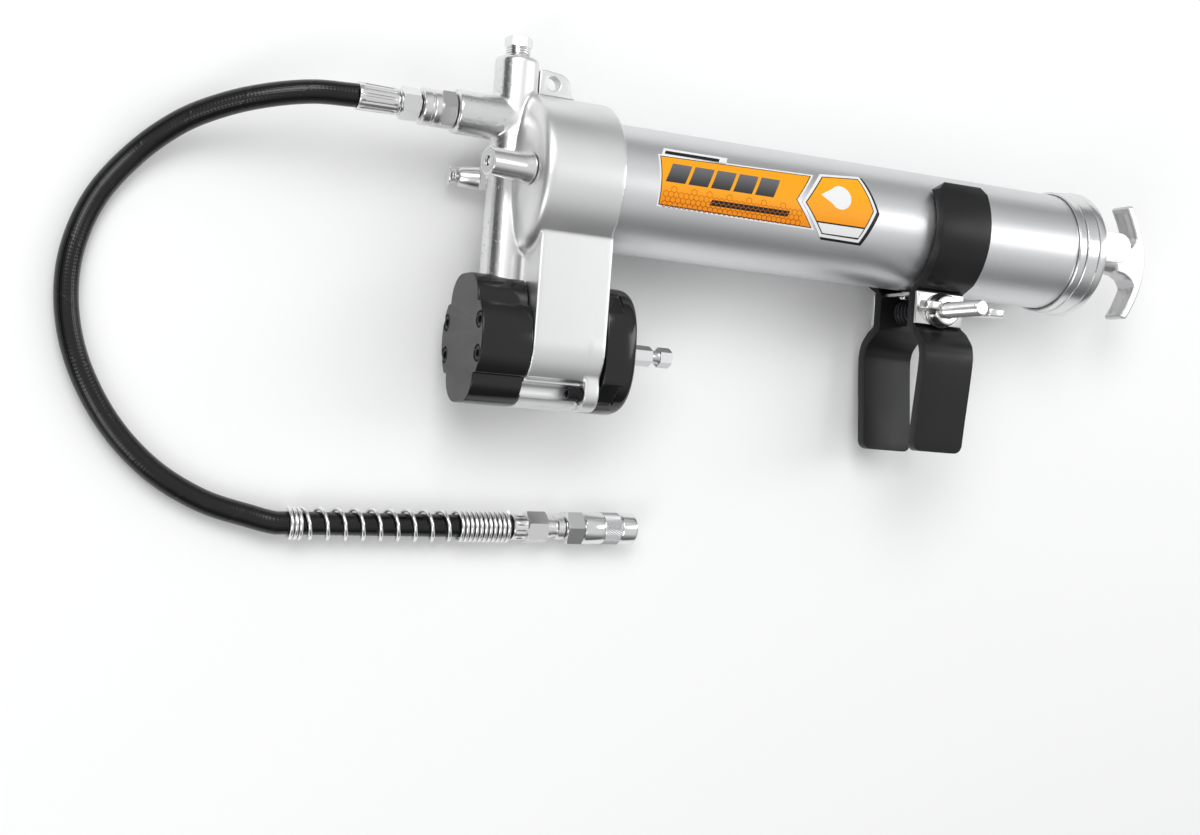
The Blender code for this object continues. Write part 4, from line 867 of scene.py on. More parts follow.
# ------------------------------------------------------------------------------------------------ the maker
class Maker:
    def __init__(self) -> None:
        """Reads the gun's own frame off the barrel and builds the shared trees."""
        low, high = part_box("barrel")
        self.origin = Vector((low.x - 0.0144, (low.y + high.y) / 2.0, (low.z + high.z) / 2.0))
        self.effects = Effects()
        self.materials: dict[str, bpy.types.Material] = {}
        self.wire = wire_recipe()
        self.screws = screw_recipe()
        self.knurl = knurl_recipe()
        self.comb = comb_recipe()

    def metres(self, point: Point3 | Vector) -> Vector:
        """Gives a point of the gun's frame in the row frame."""
        return Vector(point) * 0.001 + self.origin

    def material(self, finish: Finish | Tone) -> bpy.types.Material:
        """Gives a finish's material, made once."""
        finish = finish.value if isinstance(finish, Tone) else finish
        if finish.name not in self.materials:
            self.materials[finish.name] = finish.make(self.effects)
        return self.materials[finish.name]

    def place(self, obj: bpy.types.Object, name: str, body: str, finish: Finish | Tone,
              replaces: tuple[str, ...] = (), slot: str = "", angle: float = 32.0) -> bpy.types.Object:
        """Finishes a piece.

        Args:
            obj: The shape, in millimetres in the gun's frame.
            name: The piece's name.
            body: The CAD body it rides on.
            finish: Its finish.
            replaces: The CAD nodes it stands for.
            slot: Not used.
            angle: Edges sharper than this stay crisp.
        Returns:
            The piece, in metres in the row frame.
        """
        obj.data.transform(Matrix.Translation(self.origin) @ Matrix.Scale(0.001, 4))
        obj.name = name
        obj.data.name = name
        obj.data.materials.clear()
        obj.data.materials.append(self.material(finish))
        obj.data.polygons.foreach_set("material_index", [0] * len(obj.data.polygons))
        obj.data.polygons.foreach_set("use_smooth", [True] * len(obj.data.polygons))
        obj.data.set_sharp_from_angle(angle=math.radians(angle))
        obj.data.update()
        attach(obj, body)
        if replaces:
            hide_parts(*replaces)
        LOG.info("%s: %d faces on %s", name, len(obj.data.polygons), body)
        return obj

    def dress(self, nodes: dict[str, bpy.types.Object], finish: Tone, *names: str) -> None:
        """Gives CAD nodes that stay in sight their finish."""
        for name in names:
            node = nodes[name]
            if not node.data.materials:
                node.data.materials.append(None)
            for k in range(len(node.material_slots)):
                node.material_slots[k].material = self.material(finish)


class Tone(Enum):
    """The finishes that several sub-assemblies share."""

    ZINC = TurnedSteel("zinc_plate", (0.80, 0.80, 0.79), 0.20, 0.10, 1300.0)
    CHROME = TurnedSteel("polished_steel", (0.82, 0.82, 0.82), 0.11, 0.06, 1600.0)
    GROUND = TurnedSteel("ground_steel", (0.66, 0.66, 0.665), 0.24, 0.12, 2200.0)
    WIRE = TurnedSteel("spring_wire", (0.88, 0.88, 0.875), 0.20, 0.08, 2600.0)
    GREY = TurnedSteel("grey_knurl", (0.62, 0.62, 0.63), 0.32, 0.14, 3000.0)
    OXIDE = Oxide("black_oxide")
    GLOSS_BLACK = Enamel("gloss_enamel", (0.003, 0.003, 0.0035), 0.13, False, 0.000012, 0.55)
    # the cover's front face has painted light: a lighter grey than its black sides
    COVER_BLACK = Enamel("cover_enamel", (0.003, 0.003, 0.0035), 0.13, True, 0.000012, 0.55)
    JAW_BLACK = Enamel("jaw_enamel", (0.007, 0.007, 0.0075), 0.34, False, 0.00004)
    SEAL = Enamel("seal_rubber", (0.02, 0.02, 0.02), 0.5)
    HOSE = WrappedRubber("hose_rubber")


# ------------------------------------------------------------------------------------------------ the hose
@dataclass
class HoseLine:
    """The hose with its nut, ferrule, guard spring and coupler."""

    make: Maker
    radius: float = 5.0
    outlet_y: float = 23.0
    start: Point3 = (-72.0, -157.0, -27.0)
    angle: float = math.radians(2.0)
    route: tuple[Point3, ...] = (
        (-71.0, 23.0, 0.0), (-89.0, 22.0, -1.4), (-107.0, 18.4, -6.6), (-123.0, 13.0, -13.6),
        (-138.5, 4.6, -21.2), (-154.0, -9.6, -28.0), (-168.0, -29.2, -30.2), (-175.6, -52.0, -30.2),
        (-175.8, -75.0, -30.2), (-169.2, -98.0, -30.2), (-155.4, -120.6, -30.2), (-137.0, -138.2, -30.2),
        (-115.4, -149.8, -30.0), (-94.0, -155.4, -28.6))
    tail_stations: tuple[float, ...] = (-12.0, -6.0, 20.0, 45.0, 70.0, 95.8)

    def tail(self) -> Matrix:
        """Gives the frame of the straight tail, X along it."""
        return Matrix.Translation(self.start) @ Matrix.Rotation(self.angle, 4, "Z")

    def line(self) -> list[Vector]:
        """Gives the hose's centre line."""
        tail = self.tail()
        points = [Vector(p) for p in self.route]
        points += [tail @ Vector((s, 0.0, 0.0)) for s in self.tail_stations]
        return smooth_path(points, 2.5)

    def guard_line(self) -> list[Vector]:
        """Gives the guard wire's line: a tight collar, open turns and a tight block."""
        mean, tight, per = self.radius + 1.55, 2.0, 20
        stations = [(0.0, -6.5)]
        for count, pitch in ((3, tight), (9, 7.9), (11, tight + 0.2)):
            stations.append((stations[-1][0] + count, stations[-1][1] + count * pitch))
        points = []
        for k in range(int(stations[-1][0]) * per + 1):
            s = k / per
            for (s0, a0), (s1, a1) in zip(stations[:-1], stations[1:]):
                if s <= s1 + 1e-9:
                    break
            a = a0 + (a1 - a0) * (s - s0) / (s1 - s0)
            t = 2.0 * math.pi * s
            points.append(Vector((a, mean * math.cos(t), mean * math.sin(t))))
        return points

    @staticmethod
    def crimped(a0: float, a1: float, centre: Point2, r0: float, r1: float, flutes: int) -> bpy.types.Object:
        """Makes a crimped sleeve with soft flutes along it."""
        bm = bmesh.new()
        rows = []
        sides = flutes * 8
        length = a1 - a0
        steps = [(0.0, -0.35, 0.0), (0.35, -0.05, 0.0), (0.9, 0.0, 0.05), (1.8, 0.0, 0.3), (3.0, 0.0, 0.42),
                 (length / 2.0, 0.0, 0.42), (length - 3.0, 0.0, 0.42), (length - 1.8, 0.0, 0.3),
                 (length - 0.9, 0.0, 0.05), (length - 0.35, -0.05, 0.0), (length, -0.35, 0.0)]
        for a, extra, deep in steps:
            base = r0 + (r1 - r0) * a / length + extra
            row = []
            for k in range(sides):
                t = 2.0 * math.pi * k / sides
                wave = max(0.0, math.cos(flutes * t)) ** 0.7
                row.append(bm.verts.new((a0 + a, centre[0] + (base - deep * wave) * math.cos(t),
                                         centre[1] + (base - deep * wave) * math.sin(t))))
            rows.append(row)
        for one, two in zip(rows[:-1], rows[1:]):
            for k in range(sides):
                j = (k + 1) % sides
                bm.faces.new((one[k], one[j], two[j], two[k]))
        bm.faces.new(rows[0])
        bm.faces.new(rows[-1][::-1])
        return solid(bm)

    def build(self) -> None:
        mk = self.make
        tail = self.tail()
        line = self.line()
        hose = mk.place(sweep(line, self.radius, 40, True), "hose_rubber_line", "gun", Tone.HOSE,
                        ("hose",), angle=60.0)
        guard = mk.wire.run(chain(self.guard_line()), mk.material(Tone.WIRE), wire=0.85, sides=10)
        guard = mk.place(turned(guard, tail), "guard_wire", "gun", Tone.WIRE, ("guard_spring",), angle=60.0)
        c = (0.0, 0.0)
        fitting = self.crimped(96.1, 103.0, c, 5.9, 5.9, 10)
        merge(fitting, hex_nut(Axis.X, 102.6, 112.6, 13.0, c, 0.25),
              lathe(Axis.X, [(110.0, 0.0), (110.0, 4.4), (112.9, 4.4), (113.2, 4.8), (115.0, 4.8),
                             (115.3, 4.4), (118.0, 4.4), (118.0, 0.0)], c, 64, 0.02),
              rod(Axis.X, 117.5, 121.6, c, 5.6, 64, 0.6, 0.03))
        fitting = mk.place(turned(fitting, tail), "tail_ferrule", "gun", Tone.ZINC, ("tail_fitting",))
        body = hex_nut(Axis.X, 121.9, 130.3, 14.4, c, 0.5)
        merge(body, rod(Axis.X, 129.0, 136.0, c, 4.6, 64, 0.0, 0.02))
        body = mk.place(turned(body, tail), "coupler_hex", "gun", Tone.CHROME, ("coupler_body",))
        sleeve = lathe(Axis.X, [
            (130.6, 5.0), (130.6, 6.7), (130.8, 7.0), (131.1, 7.25), (131.5, 7.35), (139.9, 7.35),
            (140.2, 7.25), (140.5, 7.0), (140.8, 7.0), (141.0, 7.1), (149.0, 7.1), (149.2, 7.0), (149.5, 7.0),
            (149.7, 7.2),
            (150.0, 7.35), (156.2, 7.35), (156.7, 7.2), (157.1, 6.9), (157.2, 6.6), (157.2, 4.6),
            (155.4, 4.6), (155.4, 5.6), (136.6, 5.6), (136.6, 5.0)], c, 96)
        sleeve = mk.place(turned(sleeve, tail), "coupler_shell", "gun", Tone.CHROME, ("coupler_sleeve",),
                          angle=24.0)
        band = mk.knurl.run(chain([Vector((0, 0, 0)), Vector((1, 0, 0))]), mk.material(Tone.GREY),
                            start=141.5, pitch=0.78, rows=10, around=44, radius=7.12, point=0.62, rise=0.34)
        band = mk.place(turned(band, tail), "coupler_grip_band", "gun", Tone.GREY, (), "coupler_sleeve", 20.0)
        tuple(mk.metres(self.route[0]))
        [tuple(mk.metres(p)) for p in line]
        self.outlet()

    def outlet(self) -> None:
        """Makes the adapter in the boss, the hose nut and the ferrule."""
        mk = self.make
        c = (self.outlet_y, 0.0)
        adapter = lathe(Axis.X, [(-15.7, 2.5), (-15.7, 5.3), (-28.0, 5.3), (-28.0, 7.0), (-28.2, 7.2),
                                 (-34.8, 7.2), (-35.1, 7.7), (-35.4, 7.9), (-37.6, 7.9), (-37.9, 7.75),
                                 (-38.1, 7.3), (-38.9, 7.3), (-39.1, 7.75), (-39.4, 7.9), (-42.3, 7.9),
                                 (-42.8, 7.6), (-43.0, 7.2), (-43.0, 2.5)], c, 96)
        flats = hex_nut(Axis.X, -35.0, -28.0, 14.6, c, math.pi / 6.0)
        cut(flats, rod(Axis.X, -36.0, -26.7, c, 4.0, 24, 0.0, 0.05))
        merge(adapter, flats)
        mk.place(adapter, "outlet_swivel", "gun", Tone.ZINC, ("outlet_adapter",), angle=24.0)
        nut = hex_nut(Axis.X, -52.0, -43.9, 12.2, c, 0.1)
        join(nut, rod(Axis.X, -52.8, -43.3, c, 5.4, 64, 0.3, 0.02))
        cut(nut, rod(Axis.X, -54.0, -42.0, c, 3.1, 32))
        mk.place(nut, "hose_union", "gun", Tone.CHROME, ("hose_nut",))
        ferrule = self.crimped(-70.7, -53.1, c, 5.9, 5.5, 12)
        mk.place(ferrule, "hose_crimp", "gun", Tone.ZINC, ("hose_ferrule",), angle=40.0)


# ------------------------------------------------------------------------------------------------ pump head
@dataclass
class PumpHead:
    """The casting with its lug, plug, filler nipple and bleeder."""

    make: Maker
    cup_r: float = 35.3
    cup_end: float = 39.9
    column_r: float = 9.6
    column_top: float = 50.0
    column_bottom: float = -50.0
    outlet_y: float = 23.0
    outlet_x: float = -27.7
    gear_y: float = -72.8
    gear_r: float = 24.3
    lobe_h: float = 27.9
    lobe_w: float = 16.0
    housing: Point2 = (7.2, 41.2)
    voxel: float = 0.6

    def body_side(self, sign: float, count: int = 20) -> list[Point2]:
        """Gives the gearbox's round side, between its notches."""
        edge = math.degrees(math.asin(15.2 / self.gear_r))
        return [(self.gear_y + y, sign * z) for y, z in arc(self.gear_r, 90.0 - edge, 90.0 + edge, count)]

    def lobe(self, top: bool) -> list[Point2]:
        """Gives half a lobe, from its notch to the crown."""
        corner = 12.0
        middle = (self.lobe_h - corner, self.lobe_w - corner)
        points = [(15.2, self.lobe_w)] + arc(corner, 90.0, 0.0, 12, middle)
        sign = 1.0 if top else -1.0
        return [(self.gear_y + sign * y, z) for y, z in points]

    def notched(self) -> list[Point2]:
        """Gives the front cover's outline."""
        top, bottom = self.lobe(True), self.lobe(False)
        out = list(reversed(top)) + self.body_side(1.0) + bottom
        out += [(y, -z) for y, z in reversed(bottom)] + list(reversed(self.body_side(-1.0)))
        return out + [(y, -z) for y, z in top]

    def neck(self) -> list[Point2]:
        """Gives the housing and the neck above it as one outline."""
        side = [p for p in self.body_side(1.0, 24) if p[0] <= self.gear_y + 0.01]
        half = [(-18.0, self.gear_r)] + side + self.lobe(False)
        return half + [(y, -z) for y, z in reversed(half)]

    def flange(self) -> list[Point2]:
        """Gives the rear flange's outline, with square lower corners."""
        r = self.gear_r + 0.15
        turns = [math.radians(-58.0 + 116.0 * k / 30.0) for k in range(31)]
        right = [(self.gear_y - r * math.sin(t), r * math.cos(t)) for t in turns]
        right = sorted((p for p in right if p[0] > self.gear_y - 12.6), key=lambda p: -p[0])
        corner = [(self.gear_y - 12.7, 20.7)]
        corner += [(self.gear_y - y, z) for y, z in arc(8.0, 90.0, 0.0, 10, (self.lobe_h - 8.0, 12.7))]
        half = right + corner
        return half + [(y, -z) for y, z in reversed(half)]

    @staticmethod
    def splay(sign: float) -> Matrix:
        """Gives a valve's frame on the dome, X inwards."""
        lean = Matrix.Rotation(sign * math.radians(10.0), 4, "Y")
        return Matrix.Translation((-0.2, -0.4, sign * 22.4)) @ lean

    def cover_screws(self) -> list[Point2]:
        """Gives the centres of the front cover's screws."""
        return [(self.gear_y + a * 7.1, b * 19.4) for a in (1.0, -1.0) for b in (1.0, -1.0)]

    def skin(self) -> bpy.types.Object:
        """Makes the casting's outside, blended as one."""
        body = lathe(Axis.X, [(-1.4, 0.0), (-1.4, 12.0), (-0.9, 18.0), (-0.2, 22.0), (0.5, 26.4), (1.4, 30.0),
                              (2.3, 32.4), (3.4, 34.0), (4.8, 35.0), (6.6, self.cup_r),
                              (self.cup_end, self.cup_r), (self.cup_end, 0.0)], seg=160)
        column = lathe(Axis.Y, [(self.column_bottom, 0.0), (self.column_bottom, self.column_r),
                                (self.column_top - 1.1, self.column_r),
                                (self.column_top, self.column_r - 1.4), (self.column_top, 0.0)], seg=96)
        boss = lathe(Axis.X, [(self.outlet_x, 0.0), (self.outlet_x, 9.1), (self.outlet_x + 0.5, 9.5),
                              (2.0, 9.5), (2.0, 0.0)], (self.outlet_y, 0.0), 80)
        merge(body, column, boss, prism(Axis.X, self.neck(), *self.housing),
              prism(Axis.X, self.flange(), 33.8, self.housing[1] - 0.05))
        return melted(body, self.voxel, 9, 0.6)

    def hollows(self) -> bpy.types.Object:
        """Makes everything that is bored out of the casting, as one tool."""
        h0, h1 = self.housing
        top, bottom = self.column_top, self.column_bottom
        tool = lathe(Axis.Y, [(bottom - 1.0, 0.0), (bottom - 1.0, 4.3), (12.0, 4.3), (12.0, 2.3), (13.7, 2.3),
                              (14.5, 4.7), (top + 1.0, 4.7), (top + 1.0, 0.0)], seg=48, phase=0.061)
        others = [rod(Axis.X, 14.0, h1 + 1.0, (0.0, 0.0), 28.8, 144, 0.0, 0.01),
                  rod(Axis.X, h0 - 1.0, 17.0, (self.gear_y, 0.0), 15.3, 72),
                  rod(Axis.X, 16.0, h1 + 1.0, (self.gear_y, 0.0), 22.3, 96),
                  rod(Axis.X, self.outlet_x - 1.0, -15.0, (self.outlet_y, 0.0), 5.7, 48, 0.0, 0.05),
                  rod(Axis.X, -16.0, -1.0, (self.outlet_y, 0.0), 3.0, 24, 0.0, 0.09),
                  rod(Axis.X, 2.0, 15.0, (0.0, 0.0), 3.2, 24, 0.0, 0.07)]
        for sign in (-1.0, 1.0):
            low = (self.gear_y - 20.6, sign * 15.8)
            others.append(rod(Axis.X, h0 - 1.0, 34.2, (low[0] - 0.4, low[1] + sign * 0.6), 4.2, 48))
            others.append(rod(Axis.X, 30.0, h1 + 1.0, low, 2.0, 24))
            others.append(rod(Axis.X, 25.0, h1 + 1.0, (self.gear_y + 19.5, sign * 14.6), 1.85, 24))
            others.append(turned(rod(Axis.X, -8.0, 8.0, (0.0, 0.0), 4.4, 40), self.splay(sign)))
            others.append(turned(rod(Axis.X, 7.0, 18.0, (0.0, 0.0), 1.8, 20), self.splay(sign)))
        others += [rod(Axis.X, h0 - 1.0, 14.0, (y, z), 2.25, 24) for y, z in self.cover_screws()]
        return join(tool, *others)

    def build(self) -> None:
        """Makes the head's pieces."""
        mk = self.make
        cast = PlatedCasting("plated_casting", (0.80, 0.80, 0.80), 0.21, 0.5, mk.metres((-5.6, 0, 0)).x, True)
        lug_cast = PlatedCasting("plated_lug", (0.76, 0.76, 0.76), 0.22, 0.3, mk.metres((-90, 0, 0)).x)
        mk.place(cut(self.skin(), self.hollows()), "pump_casting", "gun", cast, ("head_casting",), angle=38.0)
        top = self.column_top
        side = [(9.9, top - 3.6), (13.0, top - 3.2), (19.0, top - 4.0)]
        side += [(19.0 + 5.8 * math.sin(math.radians(a)), 40.4 + 5.6 * math.cos(math.radians(a)))
                 for a in range(10, 91, 10)]
        side += [(25.4, 37.3), (27.4, 35.6), (9.9, 35.6)]
        lug = prism(Axis.Z, side, -3.0, 3.0)
        cut(lug, rod(Axis.Z, -4.0, 4.0, (16.6, 41.2), 3.1, 48))
        mk.place(bevel(lug, 0.7, 4), "hanging_lug", "gun", lug_cast, ("hang_lug",))
        self.plug()
        self.filler()
        self.bleeder()

    def plug(self) -> None:
        """Makes the check valve's plug, with thread rings under its hex, and the spring below it."""
        mk, top = self.make, self.column_top
        rings = [(top - 8.0, 0.0), (top - 8.0, 4.4), (top + 0.3, 4.4), (top + 0.3, 5.6), (top + 0.9, 5.75),
                 (top + 1.2, 5.6)]
        for k in range(3):
            base = top + 1.3 + 1.05 * k
            rings += [(base, 4.75), (base + 0.25, 4.75), (base + 0.55, 5.45), (base + 0.75, 5.45)]
        plug = lathe(Axis.Y, rings + [(top + 4.8, 4.9), (top + 4.8, 0.0)], seg=72)
        merge(plug, hex_nut(Axis.Y, top + 4.5, top + 9.0, 10.6, (0.0, 0.0), 0.3))
        mk.place(plug, "column_plug", "gun", Tone.CHROME, ("check_valve_plug",))
        spring = self.spring_line(Axis.Y, 20.1, top - 8.3, 3.0, 0.45, 5)
        spring = mk.wire.run(chain(spring), mk.material(Tone.WIRE), wire=0.45, sides=8)
        spring = mk.place(spring, "check_coil", "gun", Tone.WIRE, ("check_spring",), angle=60.0)
        tuple(mk.metres((0, top - 8.0, 0)))
        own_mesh(spring)

    @staticmethod
    def spring_line(axis: Axis, a0: float, a1: float, radius: float, wire: float, turns: float,
                    centre: Point2 = (0.0, 0.0), dead: float = 1.0) -> list[Vector]:
        """Gives the line of a compression spring with close end turns.

        Args:
            axis: The axis it is wound about.
            a0: One end's seat.
            a1: The other end's seat.
            radius: Mean radius of the turns.
            wire: The wire's radius.
            turns: Number of turns.
            centre: The axis's place across.
            dead: Close turns at each end.
        Returns:
            Points along the wire.
        """
        per, pitch = 20, 2.0 * wire + 0.25
        low, high = a0 + wire, a1 - wire
        points = []
        for k in range(int(turns * per) + 1):
            s = k / per
            if s < dead:
                a = low + pitch * s
            elif s > turns - dead:
                a = high - pitch * (turns - s)
            else:
                part = (s - dead) / (turns - 2.0 * dead)
                a = low + pitch * dead + part * (high - low - 2.0 * pitch * dead)
            t = 2.0 * math.pi * s
            points.append(Vector(spot(axis, a, centre[0] + radius * math.cos(t),
                                      centre[1] + radius * math.sin(t))))
        return points

    def filler(self) -> None:
        """Makes the filler nipple with its dark face, and its spring."""
        mk, near = self.make, self.splay(1.0)
        body = lathe(Axis.X, [(-20.5, 2.2), (-20.5, 5.5), (-20.4, 5.8), (-20.1, 6.1), (-5.0, 6.1),
                              (-4.2, 6.2), (-3.0, 6.5), (-1.4, 6.9), (-0.9, 7.0), (-0.35, 7.0), (-0.35, 4.0),
                              (6.0, 4.0),
                              (6.0, 3.2), (-18.0, 3.2), (-19.6, 2.2)], seg=96)
        mk.place(turned(body, near), "filler_body", "gun", Tone.ZINC, ("filler_nipple",), angle=24.0)
        face = lathe(Axis.X, [(-20.58, 2.6), (-20.58, 4.9), (-20.50, 5.0), (-20.42, 5.0), (-20.42, 2.6)],
                     seg=72)
        mk.place(turned(face, near), "filler_face", "gun", Tone.GROUND, (), "filler_nipple")
        ball = lathe(Axis.X, [(-17.48 - 2.6 * math.cos(t), 2.6 * math.sin(t))
                              for t in (math.pi * k / 18 for k in range(19))], seg=48)
        mk.place(turned(ball, near), "filler_check_ball", "filler_check", Tone.CHROME, ("filler_ball",))
        line = [near @ p for p in self.spring_line(Axis.X, -14.5, 7.6, 2.3, 0.4, 6)]
        spring = mk.wire.run(chain(line), mk.material(Tone.WIRE), wire=0.4, sides=8)
        spring = mk.place(spring, "filler_coil", "gun", Tone.WIRE, ("filler_spring",), angle=60.0)
        tuple(mk.metres(near @ Vector((7.6, 0.0, 0.0))))
        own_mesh(spring)

    def bleeder(self) -> None:
        """Makes the air bleeder: hex body, spring neck and mushroom button."""
        mk, far = self.make, self.splay(-1.0)
        body = lathe(Axis.X, [(-14.4, 1.9), (-14.4, 3.6), (-14.2, 4.0), (-13.8, 4.3), (-9.0, 4.8),
                              (-5.6, 5.2), (-5.2, 5.0), (-0.4, 5.0), (-0.4, 4.0), (6.0, 4.0), (6.0, 1.9)],
                              seg=72)
        base = hex_nut(Axis.X, -5.3, -0.5, 11.4, (0.0, 0.0), 0.4)
        cut(base, rod(Axis.X, -6.0, 0.0, (0.0, 0.0), 3.0, 32))
        mk.place(turned(merge(body, base), far), "bleeder_valve", "gun", Tone.ZINC,
                 ("bleeder_body",))
        button = lathe(Axis.X, [(-19.3, 0.0), (-19.3, 2.6), (-19.2, 3.3), (-18.9, 4.2), (-18.6, 4.6),
                                (-18.35, 4.7), (-18.2, 4.6), (-17.95, 3.6), (-17.9, 3.0), (-17.9, 1.5),
                                (2.0, 1.5), (2.0, 0.0)], seg=64)
        mk.place(turned(button, far), "bleeder_cap", "bleeder", Tone.CHROME, ("bleeder_button",), angle=24.0)
        line = [far @ p for p in self.spring_line(Axis.X, -17.6, -14.7, 2.9, 0.4, 2, dead=0.5)]
        spring = mk.wire.run(chain(line), mk.material(Tone.WIRE), wire=0.4, sides=8)
        spring = mk.place(spring, "bleeder_coil", "gun", Tone.WIRE, ("bleeder_spring",), angle=60.0)
        tuple(mk.metres(far @ Vector((-14.6, 0.0, 0.0))))
        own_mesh(spring)


# ------------------------------------------------------------------------------------------------ gearbox
@dataclass
class Gearbox:
    """Front cover, rear cover, their screws, the housing's bolts and the drive shaft."""

    make: Maker
    head: PumpHead
    front: Point2 = (-16.3, 6.9)
    rear: Point2 = (41.5, 56.5)

    def front_cover(self) -> None:
        """Makes the black front cover, slotted for the column."""
        mk, head = self.make, self.head
        y0 = head.gear_y
        x0, x1 = self.front
        cover = bevel(prism(Axis.X, head.notched(), x0, x1), 1.7, 5, 28.0)
        slot = 10.0
        tool = rod(Axis.X, x0 + 4.2, x1 + 1.0, (y0, 0.0), 17.4, 96)
        join(tool, box((0.0, -64.0, -slot), (x1 + 1.2, -41.0, slot)),
             rod(Axis.Y, -63.5, -40.5, (0.0, 0.0), slot + 0.1, 72))
        for y, z in head.cover_screws():
            join(tool, rod(Axis.X, x0 + 3.2, x1 + 1.0, (y, z), 2.25, 32),
                 lathe(Axis.X, [(x0 - 1.0, 0.0), (x0 - 1.0, 4.6), (x0 + 0.4, 3.6), (x0 + 3.6, 3.6),
                                (x0 + 3.6, 0.0)], (y, z), 48, 0.04))
        mk.place(cut(cover, tool), "gear_front_cover", "gun", Tone.COVER_BLACK, ("front_cover",))

    @staticmethod
    def cap_screw(head: float, head_r: float, length: float, r: float, key: float, rings: int = 0
                  ) -> bpy.types.Object:
        """Makes a socket screw along X with its head's face at 0.

        Args:
            head: Height of the head.
            head_r: Radius of the head.
            length: Whole length.
            r: Radius of the shank.
            key: Half the socket's size.
            rings: Number of rings turned round the head.
        Returns:
            The screw.
        """
        profile = [(0.0, 0.0), (0.0, head_r - 0.55), (0.12, head_r - 0.3), (0.45, head_r)]
        for k in range(rings):
            a = 0.7 + (head - 1.2) * k / rings
            step = (head - 1.2) / rings
            profile += [(a, head_r), (a + step * 0.3, head_r - 0.3), (a + step * 0.6, head_r - 0.3),
                        (a + step * 0.85, head_r)]
        profile += [(head - 0.1, head_r), (head, head_r - 0.2), (head, r), (length, r), (length, 0.0)]
        screw = lathe(Axis.X, profile, (0.0, 0.0), 56)
        key_hole = prism(Axis.X, hexagon(key * 2.0, 0.2), -0.5, head * 0.6)
        rim = lathe(Axis.X, [(-0.5, 0.0), (-0.5, key * 1.155 + 0.8), (0.35, key * 1.0), (0.35, 0.0)], seg=40,
                    phase=0.03)
        return cut(screw, join(key_hole, rim))

    def screws(self) -> None:
        """Puts the four cover screws, the two housing bolts and the rear cover's two screws."""
        mk, head = self.make, self.head
        finish = mk.material(Tone.OXIDE)
        x0 = self.front[0]
        master = self.cap_screw(3.1, 3.2, 13.0 - x0 - 0.2, 1.9, 1.6)
        seeds = chain([Vector((x0 + 0.2, y, z)) for y, z in head.cover_screws()])
        four = mk.screws.run(seeds, finish, screw=master)
        bpy.data.objects.remove(master, do_unlink=True)
        mk.place(four, "cover_cap_screws", "gun", Tone.OXIDE,
                 tuple("cover_screw_%d" % k for k in (1, 2, 3, 4)))
        master = self.cap_screw(6.0, 3.1, head.housing[1] - 27.8, 1.6, 1.6, 5)
        lows = chain([Vector((27.6, head.gear_y - 20.6, s * 15.8)) for s in (1.0, -1.0)])
        pair = mk.screws.run(lows, finish, screw=master)
        bpy.data.objects.remove(master, do_unlink=True)
        mk.place(pair, "flange_bolts", "gun", Tone.OXIDE, ("housing_bolt_1", "housing_bolt_2"))
        master = turned(self.cap_screw(2.8, 2.6, self.rear[1] - 0.3 - 26.0, 1.5, 1.3),
                        Matrix.Rotation(math.pi, 4, "Z"))
        highs = chain([Vector((self.rear[1] - 0.3, head.gear_y + 19.5, s * 14.6)) for s in (1.0, -1.0)])
        pair = mk.screws.run(highs, finish, screw=master)
        bpy.data.objects.remove(master, do_unlink=True)
        mk.place(pair, "rear_cap_screws", "gun", Tone.OXIDE, ("rear_screw_1", "rear_screw_2"))

    def rear_cover(self) -> None:
        """Makes the black rear cover with its corner pockets."""
        mk, y0 = self.make, self.head.gear_y
        x0, x1 = self.rear

        def oval(inset: float) -> list[Point2]:
            """Gives the cover's outline, drawn in by an inset."""
            a, b, power = self.head.gear_r - inset, self.head.lobe_h - inset, 2.0 / 2.6
            turns = [2.0 * math.pi * k / 160 for k in range(160)]
            return [(y0 + b * math.copysign(abs(math.cos(t)) ** power, math.cos(t)),
                     a * math.copysign(abs(math.sin(t)) ** power, math.sin(t))) for t in turns]

        cover = loft([(x0, oval(0.5)), (x0 + 0.2, oval(0.2)), (x0 + 0.6, oval(0.0)), (x1 - 3.4, oval(0.0)),
                      (x1 - 2.4, oval(0.15)), (x1 - 1.5, oval(0.5)), (x1 - 0.8, oval(1.0)),
                      (x1 - 0.3, oval(1.7)), (x1, oval(2.8))])
        tool = lathe(Axis.X, [(x0 - 1.0, 0.0), (x0 - 1.0, 14.0), (45.0, 14.0), (45.0, 12.3), (53.3, 12.3),
                              (53.3, 6.6), (x1 - 0.8, 6.6), (x1 + 0.2, 7.6), (x1 + 1.0, 7.6),
                              (x1 + 1.0, 0.0)],
                     (y0, 0.0), 96)
        for sy in (-1.0, 1.0):
            for sz in (-1.0, 1.0):
                block = bevel(box((x0 - 1.0, 0.0, -7.5), (x0 + 8.2, 12.0, 7.5)), 1.2, 3)
                turn = Matrix.Translation((0.0, y0 + sy * 18.1, sz * 19.7))
                turn = turn @ Matrix.Rotation(math.atan2(sz * 19.7, sy * 18.1), 4, "X")
                join(tool, turned(block, turn))
        for sz in (-1.0, 1.0):
            high = (y0 + 19.5, sz * 14.6)
            join(tool, rod(Axis.X, x0 - 1.0, x1 + 1.0, high, 1.85, 32),
                 rod(Axis.X, x1 - 3.6, x1 + 1.0, high, 3.05, 48))
        mk.place(cut(cover, tool), "gear_rear_cover", "gun", Tone.GLOSS_BLACK, ("rear_cover",))

